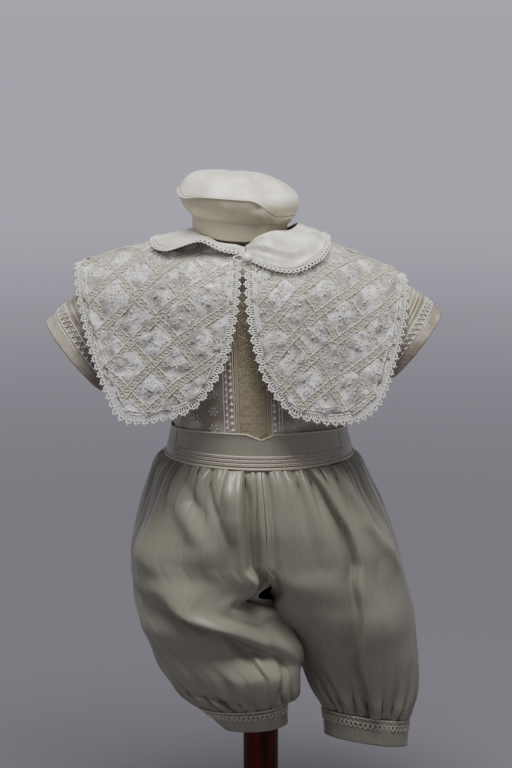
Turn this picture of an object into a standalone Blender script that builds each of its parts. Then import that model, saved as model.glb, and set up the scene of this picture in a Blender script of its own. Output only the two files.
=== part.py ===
"""Boy's christening suit on a limbless child's dress form.

A satin beret, a short trellised cape with a turned-down collar, a short-sleeved shirt with a
braid insert and full gathered knickerbockers, worn by a smooth form on a wooden post.
The wearer's front faces -Y, +X is to the viewer's right, and the origin is at the centre of
the base's underside. Lengths below are in millimetres.
"""

import math

import bmesh
import bpy
from mathutils import Vector

MM = 0.001

# Fits and cloth
SEAM_GAP = 0.3
SHIRT_WALL = 1.2
SATIN_WALL = 1.4
LEG_WALL = 1.2
LACE_WALL = 1.0

# Stand
BASE_RADIUS = 110.0
BASE_HEIGHT = 18.0
POST_RADIUS = 18.0
FORM_BOTTOM = 330.0
NECK_TOP = 688.4

# Cape trellis
TRELLIS_RISE = 0.9
# Each cape piece's two braid directions: turn in degrees, spacing, place of one braid, and half width
TRELLIS_LEFT = ((56.0, 27.0, -84.0, 2.9), (-25.0, 36.4, -12.1, 3.7))
TRELLIS_RIGHT = ((41.5, 40.2, 1.9, 4.0), (-52.5, 22.5, -104.7, 2.5))
TRELLIS_BACK = ((52.0, 31.0, 0.0, 3.2), (-38.0, 31.0, 0.0, 3.2))
SCALLOP_PITCH = 9.0
SCALLOP_DEPTH = 9.0
SCALLOP_VALLEY = 6.2

# Sleeve tucks
TUCK_RISE = 1.1

# Dress form: height, centre x, half width, half depth at the front and at the back
FORM_ROWS = (
    (330.0, 0.0, 74.0, 60.0, 62.0),
    (350.0, 0.0, 82.0, 68.0, 72.0),
    (390.0, -1.0, 85.0, 76.0, 78.0),
    (425.0, -2.0, 85.2, 78.8, 78.2),
    (440.0, -2.0, 83.9, 78.1, 77.3),
    (480.0, -4.0, 80.0, 75.0, 71.0),
    (520.0, -7.0, 79.0, 69.0, 66.0),
    (555.0, -9.0, 84.0, 61.0, 60.0),
    (580.0, -11.0, 91.0, 51.0, 53.0),
    (598.0, -12.0, 90.0, 42.0, 46.0),
    (610.0, -13.0, 78.0, 36.0, 42.0),
    (620.0, -14.0, 62.0, 33.5, 38.0),
    (625.4, -14.5, 46.8, 32.5, 33.8),
    (633.0, -15.5, 36.0, 32.2, 33.0),
    (657.0, -18.0, 32.0, 31.5, 31.5),
    (679.6, -19.0, 28.0, 27.5, 27.5),
    (686.2, -19.5, 17.0, 16.5, 16.5),
)

# Shirt: height and clearance of its inner side from the form
SHIRT_EASE = (
    (418.0, 0.4), (440.0, 0.4), (470.0, 2.0), (520.0, 4.0), (560.0, 5.0), (590.0, 3.0), (606.0, 1.0),
    (615.0, 0.5), (627.0, 0.5), (633.0, 1.5),
)

# Armholes: centre height, half height, half width in degrees round the body
ARMHOLE_Z = 547.0
ARMHOLE_HALF_HEIGHT = 36.0
ARMHOLE_HALF_TURN = 30.0

# Sleeves: centre x, y, z, half height, half depth, lean of the ring in degrees
SLEEVE_LEFT = (
    (-122.0, -3.0, 546.0, 42.0, 33.0, 12.0),
    (-150.0, -4.0, 535.0, 46.0, 34.0, 25.0),
    (-168.0, -5.0, 523.0, 45.0, 34.0, 33.0),
    (-185.5, -6.0, 510.0, 42.5, 33.0, 38.5),
)
SLEEVE_RIGHT = (
    (101.0, -3.0, 546.0, 42.0, 33.0, -12.0),
    (124.0, -4.0, 539.0, 44.0, 34.0, -24.0),
    (139.0, -5.0, 531.0, 42.0, 34.0, -32.0),
    (154.0, -6.0, 521.0, 40.0, 33.0, -37.0),
)

# Shoulder ridge of the cape: x, height
RIDGE = (
    (-196.0, 596.5), (-184.0, 600.0), (-107.0, 621.0), (-60.0, 628.5), (-15.0, 634.0), (30.0, 630.0),
    (66.0, 620.5), (143.0, 588.5), (156.0, 583.0),
)
# Fall of the cape by distance from its middle: distance, depth of curve, drop of curve, lean
CAPE_FALL = (
    (0.0, 76.0, 62.0, 0.16), (60.0, 70.0, 60.0, 0.18), (110.0, 46.0, 46.0, 0.26), (170.0, 24.0, 32.0, 0.34),
)
CAPE_MIDDLE = -15.0
NECK_HOLE = 47.0

# Trousers above the crotch: height, centre seam x, left side x, right side x, half depth
HIP_ROWS = (
    (411.3, 0.0, -95.0, 91.0, 84.0),
    (400.0, 1.0, -104.0, 100.0, 92.0),
    (380.0, 3.0, -113.0, 110.0, 99.0),
    (350.0, 5.0, -122.0, 124.0, 104.0),
    (318.0, 7.0, -128.0, 136.0, 104.0),
)
# Legs below it: height at the side, height at the ends, centre x, y, half width, half depth, turn of
# the section, angle of the front end, angle of the back end, slope of the section along x and y
LEG_LEFT_ROWS = (
    (292.0, 299.0, -36.0, -5.0, 93.0, 98.0, 0.0, -61.0, -299.0, 0.0, 0.0),
    (270.0, 286.0, -48.0, -19.0, 79.0, 86.0, 0.0, -42.0, -296.0, 0.0, 0.0),
    (248.0, 272.0, -51.0, -41.0, 70.0, 64.0, -8.0, -20.0, -282.0, 0.0, 0.0),
    (226.0, 252.0, -42.0, -56.0, 71.0, 42.0, -14.0, 4.0, -276.0, 0.0, 0.0),
    (205.0, 222.0, -33.0, -60.0, 74.0, 44.0, -20.0, 29.0, -331.0, 0.0, 0.0),
    (188.0, 194.0, -27.0, -60.0, 65.0, 41.0, -20.0, 29.0, -331.0, 0.0, 0.0),
    (177.0, 179.0, -23.0, -60.0, 56.0, 36.0, -14.0, 29.0, -331.0, 0.0, 0.0),
    (168.6, 168.6, -20.0, -59.0, 44.0, 30.0, -6.0, 29.0, -331.0, 0.04, 0.0),
)
LEG_RIGHT_ROWS = (
    (292.0, 299.0, 45.0, 0.0, 98.0, 98.0, 0.0, -111.0, 111.0, 0.0, 0.0),
    (270.0, 286.0, 62.0, -2.0, 87.0, 84.0, 0.0, -125.0, 126.0, 0.0, 0.0),
    (248.0, 272.0, 76.0, -4.0, 77.0, 72.0, 0.0, -140.0, 141.0, 0.0, 0.0),
    (226.0, 252.0, 88.0, -6.0, 68.0, 62.0, 0.0, -163.0, 163.0, 0.0, 0.0),
    (205.0, 214.0, 98.0, -10.0, 61.0, 54.0, 0.0, -180.0, 180.0, -0.04, 0.0),
    (185.0, 190.0, 102.0, -14.0, 58.0, 49.0, 0.0, -180.0, 180.0, -0.08, -0.05),
    (167.0, 169.0, 104.5, -17.0, 54.0, 45.0, 0.0, -180.0, 180.0, -0.12, -0.12),
    (154.0, 155.0, 106.0, -20.0, 48.0, 41.0, 0.0, -180.0, 180.0, -0.14, -0.18),
    (142.6, 142.6, 107.0, -22.0, 42.5, 36.0, 0.0, -180.0, 180.0, -0.16, -0.22),
)
# Cuffs: height, centre x, y, half width, half depth, turn, slope along x and y
CUFF_LEFT_ROWS = (
    (168.2, -20.0, -59.0, 44.0, 30.0, -6.0, 0.04, 0.0),
    (146.5, -7.0, -59.0, 33.0, 27.5, -6.0, 0.04, 0.0),
)
CUFF_RIGHT_ROWS = (
    (142.2, 107.0, -22.0, 42.5, 36.0, 0.0, -0.16, -0.22),
    (115.0, 107.5, -24.0, 41.5, 35.0, 0.0, -0.16, -0.22),
)
# Gathers: height of the wave by row, from the waistband down to the cuff
GATHER_LEFT = (1.0, 2.6, 2.3, 1.3, 0.6, 0.3, 0.3, 0.3, 0.4, 0.7, 1.6, 2.2, 0.9)
GATHER_RIGHT = (1.0, 2.6, 2.3, 1.3, 0.6, 0.3, 0.3, 0.3, 0.3, 0.4, 0.8, 1.6, 2.2, 0.9)
LEG_COLUMNS = 22
LEG_BACK_COLUMNS = 14
# Large folds: column and row where each starts and ends, half width in columns, height
FOLDS_LEFT = (
    (2.6, 1.0, 1.6, 6.5, 1.3, 5.0), (0.4, 1.0, 0.4, 5.6, 1.0, -5.0), (5.4, 1.5, 4.2, 6.0, 1.3, 3.5),
    (9.0, 2.0, 8.0, 7.5, 1.6, 3.0), (13.5, 2.0, 12.5, 7.0, 1.8, 3.0), (17.0, 7.5, 4.0, 10.4, 1.6, -4.5),
    (15.0, 9.2, 6.0, 11.0, 1.5, 3.5), (27.0, 2.0, 28.0, 9.0, 1.8, 3.5), (33.0, 2.0, 32.0, 8.5, 1.5, 3.0),
    (38.0, 2.0, 37.0, 8.0, 1.6, 3.0),
)
FOLDS_RIGHT = (
    (1.0, 1.0, 1.4, 6.0, 1.1, 4.0), (5.0, 1.5, 5.4, 7.0, 1.5, 2.5), (9.6, 1.5, 12.0, 11.5, 1.1, -4.5),
    (11.4, 1.5, 13.6, 11.5, 1.3, 4.5), (15.6, 2.0, 16.6, 10.5, 1.6, 3.0), (19.5, 2.0, 20.0, 10.0, 1.6, 2.5),
    (27.0, 2.0, 27.0, 10.0, 1.8, 3.5), (33.0, 2.0, 32.0, 9.5, 1.5, 3.0), (38.0, 2.0, 37.0, 9.0, 1.6, 3.0),
)

# Waistband: height, left side x, right side x, half depth
WAIST_ROWS = ((440.0, -88.5, 84.5, 81.0), (426.0, -91.5, 87.5, 82.5), (411.9, -95.0, 91.0, 84.0))
WAIST_SEAM_LEFT = -66.0
WAIST_SEAM_RIGHT = 62.0
BRAID_TOP = 425.0
BRAID_BOTTOM = 414.0

# Beret: turn from the front, rim radius, and heights
BERET_X = -22.0
CROWN_RIM = 60.0
CROWN_TOP = 692.5
RIM_Z = 666.0
BAND_RADIUS = 47.0
BAND_X = -21.0

# Collar edges round the neck in the cape's own plane: turn from the front in degrees, radius
COLLAR_LEFT_EDGE = (
    (0.0, 60.0), (15.0, 59.0), (30.0, 60.0), (42.0, 64.0), (52.0, 75.0), (60.0, 86.0), (72.0, 93.0),
    (90.0, 92.0), (135.0, 87.0), (180.0, 82.0),
)
COLLAR_RIGHT_EDGE = (
    (0.0, 60.0), (13.0, 70.0), (27.0, 79.0), (43.0, 84.0), (61.0, 84.0), (80.0, 80.0), (100.0, 80.0),
    (140.0, 82.0), (180.0, 82.0),
)
PICOT_WIDTH = 3.4

BUTTON_DIAMETER = 10.5


def lerp(a, b, t):
    return a + (b - a) * t


def smooth(t):
    t = min(1.0, max(0.0, t))
    return t * t * (3.0 - 2.0 * t)


def table(rows, value, column=None):
    """Row of a table at a value of its first column, read between the rows."""
    first, last = rows[0][0], rows[-1][0]
    turned = rows if first <= last else tuple(reversed(rows))
    if value <= turned[0][0]:
        found = turned[0]
    elif value >= turned[-1][0]:
        found = turned[-1]
    else:
        for low, high in zip(turned, turned[1:]):
            if value <= high[0]:
                t = (value - low[0]) / (high[0] - low[0])
                found = tuple(lerp(a, b, t) for a, b in zip(low, high))
                break
    return found if column is None else found[column]


def at_row(rows, v):
    """Row of a table at a fractional row number."""
    v = min(len(rows) - 1.0, max(0.0, v))
    low = min(int(v), len(rows) - 2)
    return tuple(lerp(a, b, v - low) for a, b in zip(rows[low], rows[low + 1]))


def material(name, colour, roughness, metallic=0.0):
    made = bpy.data.materials.new(name)
    made.use_nodes = True
    shader = made.node_tree.nodes["Principled BSDF"]
    shader.inputs["Base Color"].default_value = (*colour, 1.0)
    shader.inputs["Roughness"].default_value = roughness
    shader.inputs["Metallic"].default_value = metallic
    made.diffuse_color = (*colour, 1.0)
    return made


def finish(name, bm, look):
    """Make the object of a bmesh that is in millimetres."""
    for vert in bm.verts:
        vert.co *= MM
    bmesh.ops.dissolve_degenerate(bm, dist=1e-6, edges=bm.edges[:])
    bmesh.ops.triangulate(bm, faces=bm.faces[:])
    bmesh.ops.recalc_face_normals(bm, faces=bm.faces[:])
    mesh = bpy.data.meshes.new(name)
    bm.to_mesh(mesh)
    bm.free()
    mesh.shade_smooth()
    mesh.set_sharp_from_angle(angle=math.radians(45.0))
    mesh.materials.append(look)
    made = bpy.data.objects.new(name, mesh)
    parts.objects.link(made)
    made.parent = stand
    return made


def slope(point, u, v, du=0.02, dv=0.02):
    """Unit directions of a surface along u and v, and its normal."""
    along = (point(u + du, v) - point(u - du, v)).normalized()
    down = (point(u, v + dv) - point(u, v - dv)).normalized()
    return along, down, along.cross(down).normalized()


def in_plane(normal, slope_x=0.0, slope_y=0.0):
    """A direction laid into a section's own plane."""
    across = Vector((-slope_x, -slope_y, 1.0)).normalized()
    return (normal - across * normal.dot(across)).normalized()


def flat_grid(columns, rows):
    """A flat grid whose x and y count its columns and rows."""
    bm = bmesh.new()
    bmesh.ops.create_grid(bm, x_segments=columns, y_segments=rows, size=0.5)
    for vert in bm.verts:
        vert.co.x = round((vert.co.x + 0.5) * columns)
        vert.co.y = round((vert.co.y + 0.5) * rows)
    return bm


def wall(name, look, bm, inner, outer, tube=0, pole=None, spare=None):
    """Close a flat sheet into a wall: inner and outer take a flat point to its place.

    spare tells which edges the plain inner side does without."""
    grown = bmesh.ops.extrude_face_region(bm, geom=bm.faces[:])["geom"]
    outside = {item for item in grown if isinstance(item, bmesh.types.BMVert)}
    if spare:
        plain = [edge for edge in bm.edges if not outside.intersection(edge.verts)
                 and all(not outside.intersection(face.verts) for face in edge.link_faces)
                 and spare(*(vert.co for vert in edge.verts))]
        bmesh.ops.dissolve_edges(bm, edges=plain, use_verts=True, use_face_split=False)
    doomed = []
    for face in bm.faces:
        columns = {round(vert.co.x, 4) for vert in face.verts}
        rows = {round(vert.co.y, 4) for vert in face.verts}
        if tube and columns in ({0.0}, {float(tube)}):
            doomed.append(face)
        elif pole is not None and rows == {float(pole)}:
            doomed.append(face)
    if doomed:
        bmesh.ops.delete(bm, geom=doomed, context="FACES_ONLY")
        bare = [edge for edge in bm.edges if not edge.link_faces]
        bmesh.ops.delete(bm, geom=bare, context="EDGES")
    for vert in bm.verts:
        place = outer if vert in outside else inner
        vert.co = place(vert.co.x, vert.co.y)
    if tube or pole is not None:
        bmesh.ops.remove_doubles(bm, verts=bm.verts[:], dist=0.001)
    return finish(name, bm, look)


# ---------------------------------------------------------------- scene
for old in list(bpy.data.objects):
    bpy.data.objects.remove(old, do_unlink=True)
parts = bpy.data.collections.new("christening_suit_on_form")
bpy.context.scene.collection.children.link(parts)
stand = bpy.data.objects.new("stand_origin", None)
parts.objects.link(stand)

WHITE_SATIN = material("white_satin", (0.80, 0.78, 0.71), 0.38)
CAPE_SATIN = material("cape_satin", (0.78, 0.75, 0.68), 0.42)
WHITE_LACE = material("white_lace", (0.84, 0.82, 0.76), 0.75)
BEIGE_BRAID = material("beige_braid", (0.60, 0.52, 0.40), 0.70)
SHIRT_SATIN = material("shirt_satin", (0.76, 0.73, 0.65), 0.45)
DUPIONI = material("ivory_dupioni", (0.70, 0.67, 0.56), 0.46)
FORM_CLOTH = material("form_cloth", (0.62, 0.58, 0.50), 0.85)
DARK_WOOD = material("dark_red_wood", (0.055, 0.014, 0.008), 0.35)
PEARL = material("pearl", (0.83, 0.80, 0.72), 0.22)


# ---------------------------------------------------------------- form, post and base
def form_point(turn, z, ease=0.0):
    """Point of the form's section: turn runs from the front to the viewer's right."""
    _, cx, a, front, back = table(FORM_ROWS, z)
    angle = math.radians(turn)
    b = front if math.cos(angle) > 0 else back
    return Vector((cx + (a + ease) * math.sin(angle), -(b + ease) * math.cos(angle), z))


def build_form():
    sides = 24
    rows = len(FORM_ROWS) + 1
    bm = flat_grid(sides, rows)
    for vert in bm.verts:
        turn = 360.0 * vert.co.x / sides
        row = round(vert.co.y)
        if row == 0:
            vert.co = Vector((0.0, 0.0, FORM_BOTTOM))
        elif row == rows:
            vert.co = Vector((FORM_ROWS[-1][1], 0.0, NECK_TOP))
        else:
            vert.co = form_point(turn, FORM_ROWS[row - 1][0])
    bmesh.ops.remove_doubles(bm, verts=bm.verts[:], dist=0.001)
    return finish("form_torso", bm, FORM_CLOTH)


def turned(name, look, profile, sides=40):
    """Round piece from a profile of radius and height, listed from the top down."""
    bm = bmesh.new()
    line = [bm.verts.new((radius * MM, 0.0, z * MM)) for radius, z in profile]
    for first, second in zip(line, line[1:]):
        bm.edges.new((first, second))
    mesh = bpy.data.meshes.new(name)
    bm.to_mesh(mesh)
    bm.free()
    made = bpy.data.objects.new(name, mesh)
    parts.objects.link(made)
    made.parent = stand
    mesh.materials.append(look)
    screw = made.modifiers.new("turn", "SCREW")
    screw.axis = "Z"
    screw.steps = sides
    screw.render_steps = sides
    screw.use_merge_vertices = True
    screw.merge_threshold = 0.00001
    screw.use_smooth_shade = True
    return made


build_form()
turned("post", DARK_WOOD, ((0.0, FORM_BOTTOM - 0.3), (POST_RADIUS, FORM_BOTTOM - 0.3),
                           (POST_RADIUS, BASE_HEIGHT + 0.3), (0.0, BASE_HEIGHT + 0.3)), 28)
turned("base", DARK_WOOD, ((0.0, BASE_HEIGHT), (BASE_RADIUS - 8.0, BASE_HEIGHT),
                           (BASE_RADIUS - 2.5, BASE_HEIGHT - 2.5), (BASE_RADIUS, BASE_HEIGHT - 8.0),
                           (BASE_RADIUS, 0.0), (0.0, 0.0)), 36)


# ---------------------------------------------------------------- shirt
SHIRT_COLUMNS = 12
SHIRT_LEVELS = (
    420.0, 425.0, 440.0, 480.0, 507.0, 527.0, 547.0, 567.0, 585.0, 598.0, 610.0, 620.0, 625.4, 631.0,
)


def shirt_point(turn, z):
    return form_point(turn, z, table(SHIRT_EASE, z, 1))


def shirt_place(turn, z, lift):
    """Point of the shirt moved out along its normal."""
    normal = slope(shirt_point, turn, z, 1.0, 1.5)[2]
    return shirt_point(turn, z) + normal * lift


def build_shirt(name, start, end):
    """A shirt panel from side seam to side seam, with half an armhole cut in each edge."""
    rows = len(SHIRT_LEVELS) - 1
    bm = flat_grid(SHIRT_COLUMNS, rows)
    for vert in bm.verts:
        vert.co.x = lerp(start, end, vert.co.x / SHIRT_COLUMNS)
        vert.co.y = SHIRT_LEVELS[round(vert.co.y)]

    def flat_size(point):
        turn = (point.x + 180.0) % 360.0 - 180.0
        near = math.copysign(90.0, turn)
        return math.hypot((turn - near) / ARMHOLE_HALF_TURN, (point.y - ARMHOLE_Z) / ARMHOLE_HALF_HEIGHT)

    inside = [face for face in bm.faces if flat_size(face.calc_center_median()) < 1.0]
    rim = {vert for face in inside for vert in face.verts}
    bmesh.ops.delete(bm, geom=inside, context="FACES")
    for vert in bm.verts:
        if vert not in rim:
            continue
        turn = (vert.co.x + 180.0) % 360.0 - 180.0
        near = math.copysign(90.0, turn)
        across = (turn - near) / ARMHOLE_HALF_TURN
        up = (vert.co.y - ARMHOLE_Z) / ARMHOLE_HALF_HEIGHT
        size = math.hypot(across, up)
        shift = near + across / size * ARMHOLE_HALF_TURN - turn
        vert.co.x += shift
        vert.co.y = ARMHOLE_Z + up / size * ARMHOLE_HALF_HEIGHT
    edge = {round(start, 3): 1.0, round(end, 3): -1.0}

    def place(lift):
        def at(turn, z):
            found = shirt_place(turn, z, lift)
            sign = edge.get(round(turn, 3), 0.0)
            if sign:
                along = slope(shirt_point, turn, z, 1.0, 1.5)[0]
                found += along * sign * SEAM_GAP * 0.5
            return found
        return at

    return wall(name, SHIRT_SATIN, bm, place(0.0), place(SHIRT_WALL))


build_shirt("shirt_front", -90.0, 90.0)
build_shirt("shirt_back", 90.0, 270.0)


def build_front_insert():
    """Braid insert down the middle of the shirt front."""
    levels = (442.0, 460.0, 480.0, 500.0, 520.0, 538.0, 555.0, 572.0)
    columns = 6
    half = 15.5
    bm = flat_grid(columns, len(levels) - 1)

    def place(lift):
        def at(column, row):
            z = levels[round(row)]
            middle = lerp(-6.0, -12.0, (z - 424.0) / 152.0)
            _, cx, _, front, _ = table(FORM_ROWS, z)
            x = middle + half * (2.0 * column / columns - 1.0)
            a = table(FORM_ROWS, z, 2) + table(SHIRT_EASE, z, 1)
            turn = math.degrees(math.asin((x - cx) / a))
            ridge = 0.7 if lift > SHIRT_WALL + 1.4 and round(column) in (1, 3, 5) else 0.0
            return shirt_place(turn, z, lift + ridge)
        return at

    return wall("front_insert", BEIGE_BRAID, bm, place(SHIRT_WALL + 0.8), place(SHIRT_WALL + 1.8))


build_front_insert()


# ---------------------------------------------------------------- sleeves
SLEEVE_COLUMNS = 14
# Place along the sleeve and rise of the outer side: seven tucks, then the plain hem band
SLEEVE_LEVELS = [(0.0, 0.0), (0.55, 0.0), (1.05, 0.0), (1.5, 0.0)]
for tuck in range(7):
    SLEEVE_LEVELS.append((1.62 + 0.19 * tuck, TUCK_RISE))
    SLEEVE_LEVELS.append((1.62 + 0.19 * tuck + 0.095, 0.0))
SLEEVE_LEVELS += [(3.5, 0.0), (3.56, 0.7), (3.9, 0.7), (4.0, 0.2)]


def build_sleeve(name, rows, side):
    """Tube from the armhole's rim to the hem, tucked round its lower half."""

    def ring(turn, row):
        cx, cy, cz, tall, deep, lean = row
        lean = math.radians(lean)
        up = Vector((-math.sin(lean), 0.0, math.cos(lean)))
        return (Vector((cx, cy, cz)) + up * (tall * math.cos(turn))
                + Vector((0.0, deep * math.sin(turn) * -1.0, 0.0)))

    def point(u, v):
        turn = 2.0 * math.pi * u / SLEEVE_COLUMNS
        swing = -1.0 if side > 0 else 1.0
        start = shirt_place(side * 90.0 + swing * (ARMHOLE_HALF_TURN + 1.5) * math.sin(turn),
                            ARMHOLE_Z + (ARMHOLE_HALF_HEIGHT + 1.5) * math.cos(turn), SHIRT_WALL + 0.7)
        if v <= 0.0:
            return start
        if v < 1.0:
            return start.lerp(ring(turn, rows[0]), v)
        return ring(turn, at_row(rows, v - 1.0))

    def normal(u, v):
        found = slope(point, u, max(0.05, min(3.95, v)), 0.05, 0.04)[2]
        cx, cy, cz = at_row(rows, v - 1.0)[:3]
        away = point(u, max(0.05, v)) - Vector((cx, cy, cz))
        return found if found.dot(away) > 0 else -found

    bm = flat_grid(SLEEVE_COLUMNS, len(SLEEVE_LEVELS) - 1)

    def inner(column, row):
        return point(column % SLEEVE_COLUMNS, SLEEVE_LEVELS[round(row)][0])

    def outer(column, row):
        column = column % SLEEVE_COLUMNS
        level, rise = SLEEVE_LEVELS[round(row)]
        return point(column, level) + normal(column, level) * (SHIRT_WALL + rise)

    def spare(one, two):
        return one.y == two.y and 3 < one.y < len(SLEEVE_LEVELS) - 1 and round(one.y) not in (8, 12, 16, 20)

    return wall(name, SHIRT_SATIN, bm, inner, outer, tube=SLEEVE_COLUMNS, spare=spare)


build_sleeve("sleeve_left", SLEEVE_LEFT, -1)
build_sleeve("sleeve_right", SLEEVE_RIGHT, 1)


# ---------------------------------------------------------------- cape and collar
def cape_curve(x):
    """Ridge height, depth and drop of the shoulder curve, lean, and length of the curve."""
    _, depth, drop, lean = table(CAPE_FALL, abs(x - CAPE_MIDDLE))
    length = 0.5 * math.pi * math.sqrt(0.5 * (depth * depth + drop * drop))
    ridge = (table(RIDGE, x - 6.0, 1) + table(RIDGE, x, 1) + table(RIDGE, x + 6.0, 1)) / 3.0
    return ridge, depth, drop, lean, length


def cape_point(x, s):
    """Point of the cape: s runs from the shoulder ridge down the front, below 0 down the back."""
    ridge, depth, drop, lean, length = cape_curve(x)
    along = abs(s)
    if along < length:
        turn = 0.5 * math.pi * along / length
        out, down = depth * math.sin(turn), drop * (1.0 - math.cos(turn))
    else:
        out, down = depth, drop + along - length
    out += lean * down
    return Vector((x, -math.copysign(out, s), ridge - down))


def cape_place(x, s, lift):
    return cape_point(x, s) + slope(cape_point, x, s, 2.0, 2.0)[2] * -lift


def braid_place(braid, x, s):
    """Place of a flat point across a braid direction."""
    turn = math.radians(braid[0])
    return x * math.sin(turn) - s * math.cos(turn)


def off_braid(braid, place):
    """Distance to the nearest braid of a direction, in half widths."""
    _, pitch, start, half = braid
    steps = (place - start) / pitch
    return abs(steps - round(steps)) * pitch / half


def trellis_rise(trellis, x, s):
    """Height of the crossing braids on the cape at a flat point."""
    return TRELLIS_RISE * max(0.0, *(1.0 - off_braid(braid, braid_place(braid, x, s)) for braid in trellis))


# Outer edge of each cape piece, lace included: x and distance down from the shoulder ridge
CAPE_FRONT_LEFT = (
    (-184.0, 0.0), (-181.0, 32.0), (-176.0, 58.0), (-168.5, 90.0), (-160.0, 118.0), (-150.0, 146.0),
    (-137.0, 176.0), (-111.0, 193.0), (-88.0, 200.0), (-72.0, 201.0), (-58.0, 195.0), (-44.0, 179.0),
    (-33.0, 160.0), (-25.0, 131.0), (-20.5, 102.0), (-18.3, 56.0),
)
CAPE_FRONT_RIGHT = (
    (142.0, 0.0), (144.0, 18.0), (143.0, 44.0), (136.0, 79.0), (122.0, 130.0), (112.0, 154.0), (95.0, 176.0),
    (66.0, 199.0), (37.0, 208.0), (22.0, 202.0), (6.0, 184.0), (-3.0, 165.0), (-12.0, 131.0), (-15.2, 102.0),
    (-16.8, 56.0),
)
CAPE_BACK = (
    (-184.0, 0.0), (-181.0, -32.0), (-176.0, -58.0), (-168.5, -90.0), (-160.0, -118.0), (-150.0, -146.0),
    (-137.0, -176.0), (-111.0, -196.0), (-72.0, -208.0), (-15.0, -213.0), (37.0, -210.0), (66.0, -199.0),
    (95.0, -176.0), (112.0, -154.0), (122.0, -130.0), (136.0, -79.0), (143.0, -44.0), (144.0, -18.0),
    (142.0, 0.0),
)


def trellis_lines(braid, edge):
    """Places across one braid direction: foot, crest and foot of each band over an edge."""
    _, pitch, start, half = braid
    places = [braid_place(braid, x, s) for x, s in edge]
    low, high = math.floor((min(places) - start) / pitch) - 1, math.ceil((max(places) - start) / pitch) + 2
    found = []
    for step in range(low, high):
        middle = start + step * pitch
        found += [middle - half, middle, middle + half]
    return found


def cut(bm, faces, point, outward, clear):
    """Cut flat faces along a line, and clear what lies past it."""
    geom = list({item for face in faces for item in (face, *face.edges, *face.verts)})
    bmesh.ops.bisect_plane(bm, geom=geom, dist=0.01, plane_co=point, plane_no=outward, clear_outer=clear)


def facing(start, end, away):
    """Direction across a flat line that points away from a place."""
    along = (end - start).normalized()
    outward = Vector((along.y, -along.x, 0.0))
    return -outward if outward.dot(away - start) > 0 else outward


def cape_sheet(trellis, edge, inset, neck_turns):
    """Flat piece of trellised satin inside an edge, with its part of the neck hole cut out."""
    one, two = (math.radians(braid[0]) for braid in trellis)
    first, second = (trellis_lines(braid, edge) for braid in trellis)
    bm = flat_grid(len(first) - 1, len(second) - 1)
    for vert in bm.verts:
        p, q = first[round(vert.co.x)] / math.sin(two - one), second[round(vert.co.y)] / math.sin(two - one)
        vert.co = Vector((q * math.cos(one) - p * math.cos(two), q * math.sin(one) - p * math.sin(two), 0.0))
    middle = Vector((sum(x for x, _ in edge) / len(edge), sum(s for _, s in edge) / len(edge), 0.0))
    ends = [Vector((x, s, 0.0)) for x, s in edge]
    for start, end in zip(ends, ends[1:]):
        outward = facing(start, end, middle)
        cut(bm, bm.faces[:], start - outward * inset, outward, True)
    down = math.copysign(1.0, middle.y)
    cut(bm, bm.faces[:], Vector((0.0, down * SEAM_GAP * 0.5, 0.0)), Vector((0.0, -down, 0.0)), True)
    hole = Vector((CAPE_MIDDLE, 0.0, 0.0))
    rays = [Vector((math.sin(a), math.cos(a), 0.0)) for a in map(math.radians, neck_turns)]
    corners = [hole + ray * NECK_HOLE for ray in rays]
    chords = [(start, facing(start, end, hole)) for start, end in zip(corners, corners[1:])]
    for start, outward in chords:
        near = [f for f in bm.faces if (f.calc_center_median() - hole).length < NECK_HOLE + 30.0]
        cut(bm, near, start, outward, False)
    inside = [face for face in bm.faces
              if all(outward.dot(face.calc_center_median() - start) <= 0 for start, outward in chords)]
    bmesh.ops.delete(bm, geom=inside, context="FACES")
    bmesh.ops.remove_doubles(bm, verts=bm.verts[:], dist=0.6)
    return bm


def build_cape(name, trellis, edge, neck_turns):
    def on_foot(one, two):
        for braid in trellis:
            start, end = braid_place(braid, one.x, one.y), braid_place(braid, two.x, two.y)
            if abs(start - end) < 0.01 and abs(off_braid(braid, start) - 1.0) < 0.004:
                return True
        return False

    bm = cape_sheet(trellis, edge, SCALLOP_DEPTH, neck_turns)
    return wall(name, CAPE_SATIN, bm, lambda x, s: cape_place(x, s, 0.0),
                lambda x, s: cape_place(x, s, SATIN_WALL + trellis_rise(trellis, x, s)), spare=on_foot)


build_cape("cape_front_left", TRELLIS_LEFT, CAPE_FRONT_LEFT, (0.0, -30.0, -60.0, -90.0))
build_cape("cape_front_right", TRELLIS_RIGHT, CAPE_FRONT_RIGHT, (0.0, 30.0, 60.0, 90.0))
build_cape("cape_back", TRELLIS_BACK, CAPE_BACK, (90.0, 120.0, 150.0, 180.0, 210.0, 240.0, 270.0))


def inset_line(edge, inset):
    """Line that runs inside an edge at a fixed distance, ends included."""
    ends = [Vector((x, s)) for x, s in edge]
    middle = sum(ends, Vector((0.0, 0.0))) / len(ends)
    lines = []
    for start, end in zip(ends, ends[1:]):
        along = (end - start).normalized()
        outward = Vector((along.y, -along.x))
        if outward.dot(middle - start) > 0:
            outward = -outward
        lines.append((start - outward * inset, along, outward))
    points = [lines[0][0]]
    for (one, way, _), (two, other, _) in zip(lines, lines[1:]):
        turn = way.x * other.y - way.y * other.x
        if abs(turn) < 1e-6:
            points.append(two)
            continue
        gap = two - one
        points.append(one + way * ((gap.x * other.y - gap.y * other.x) / turn))
    points.append(lines[-1][0] + lines[-1][1] * (ends[-1] - ends[-2]).length)
    return points, [line[2] for line in lines]


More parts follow.
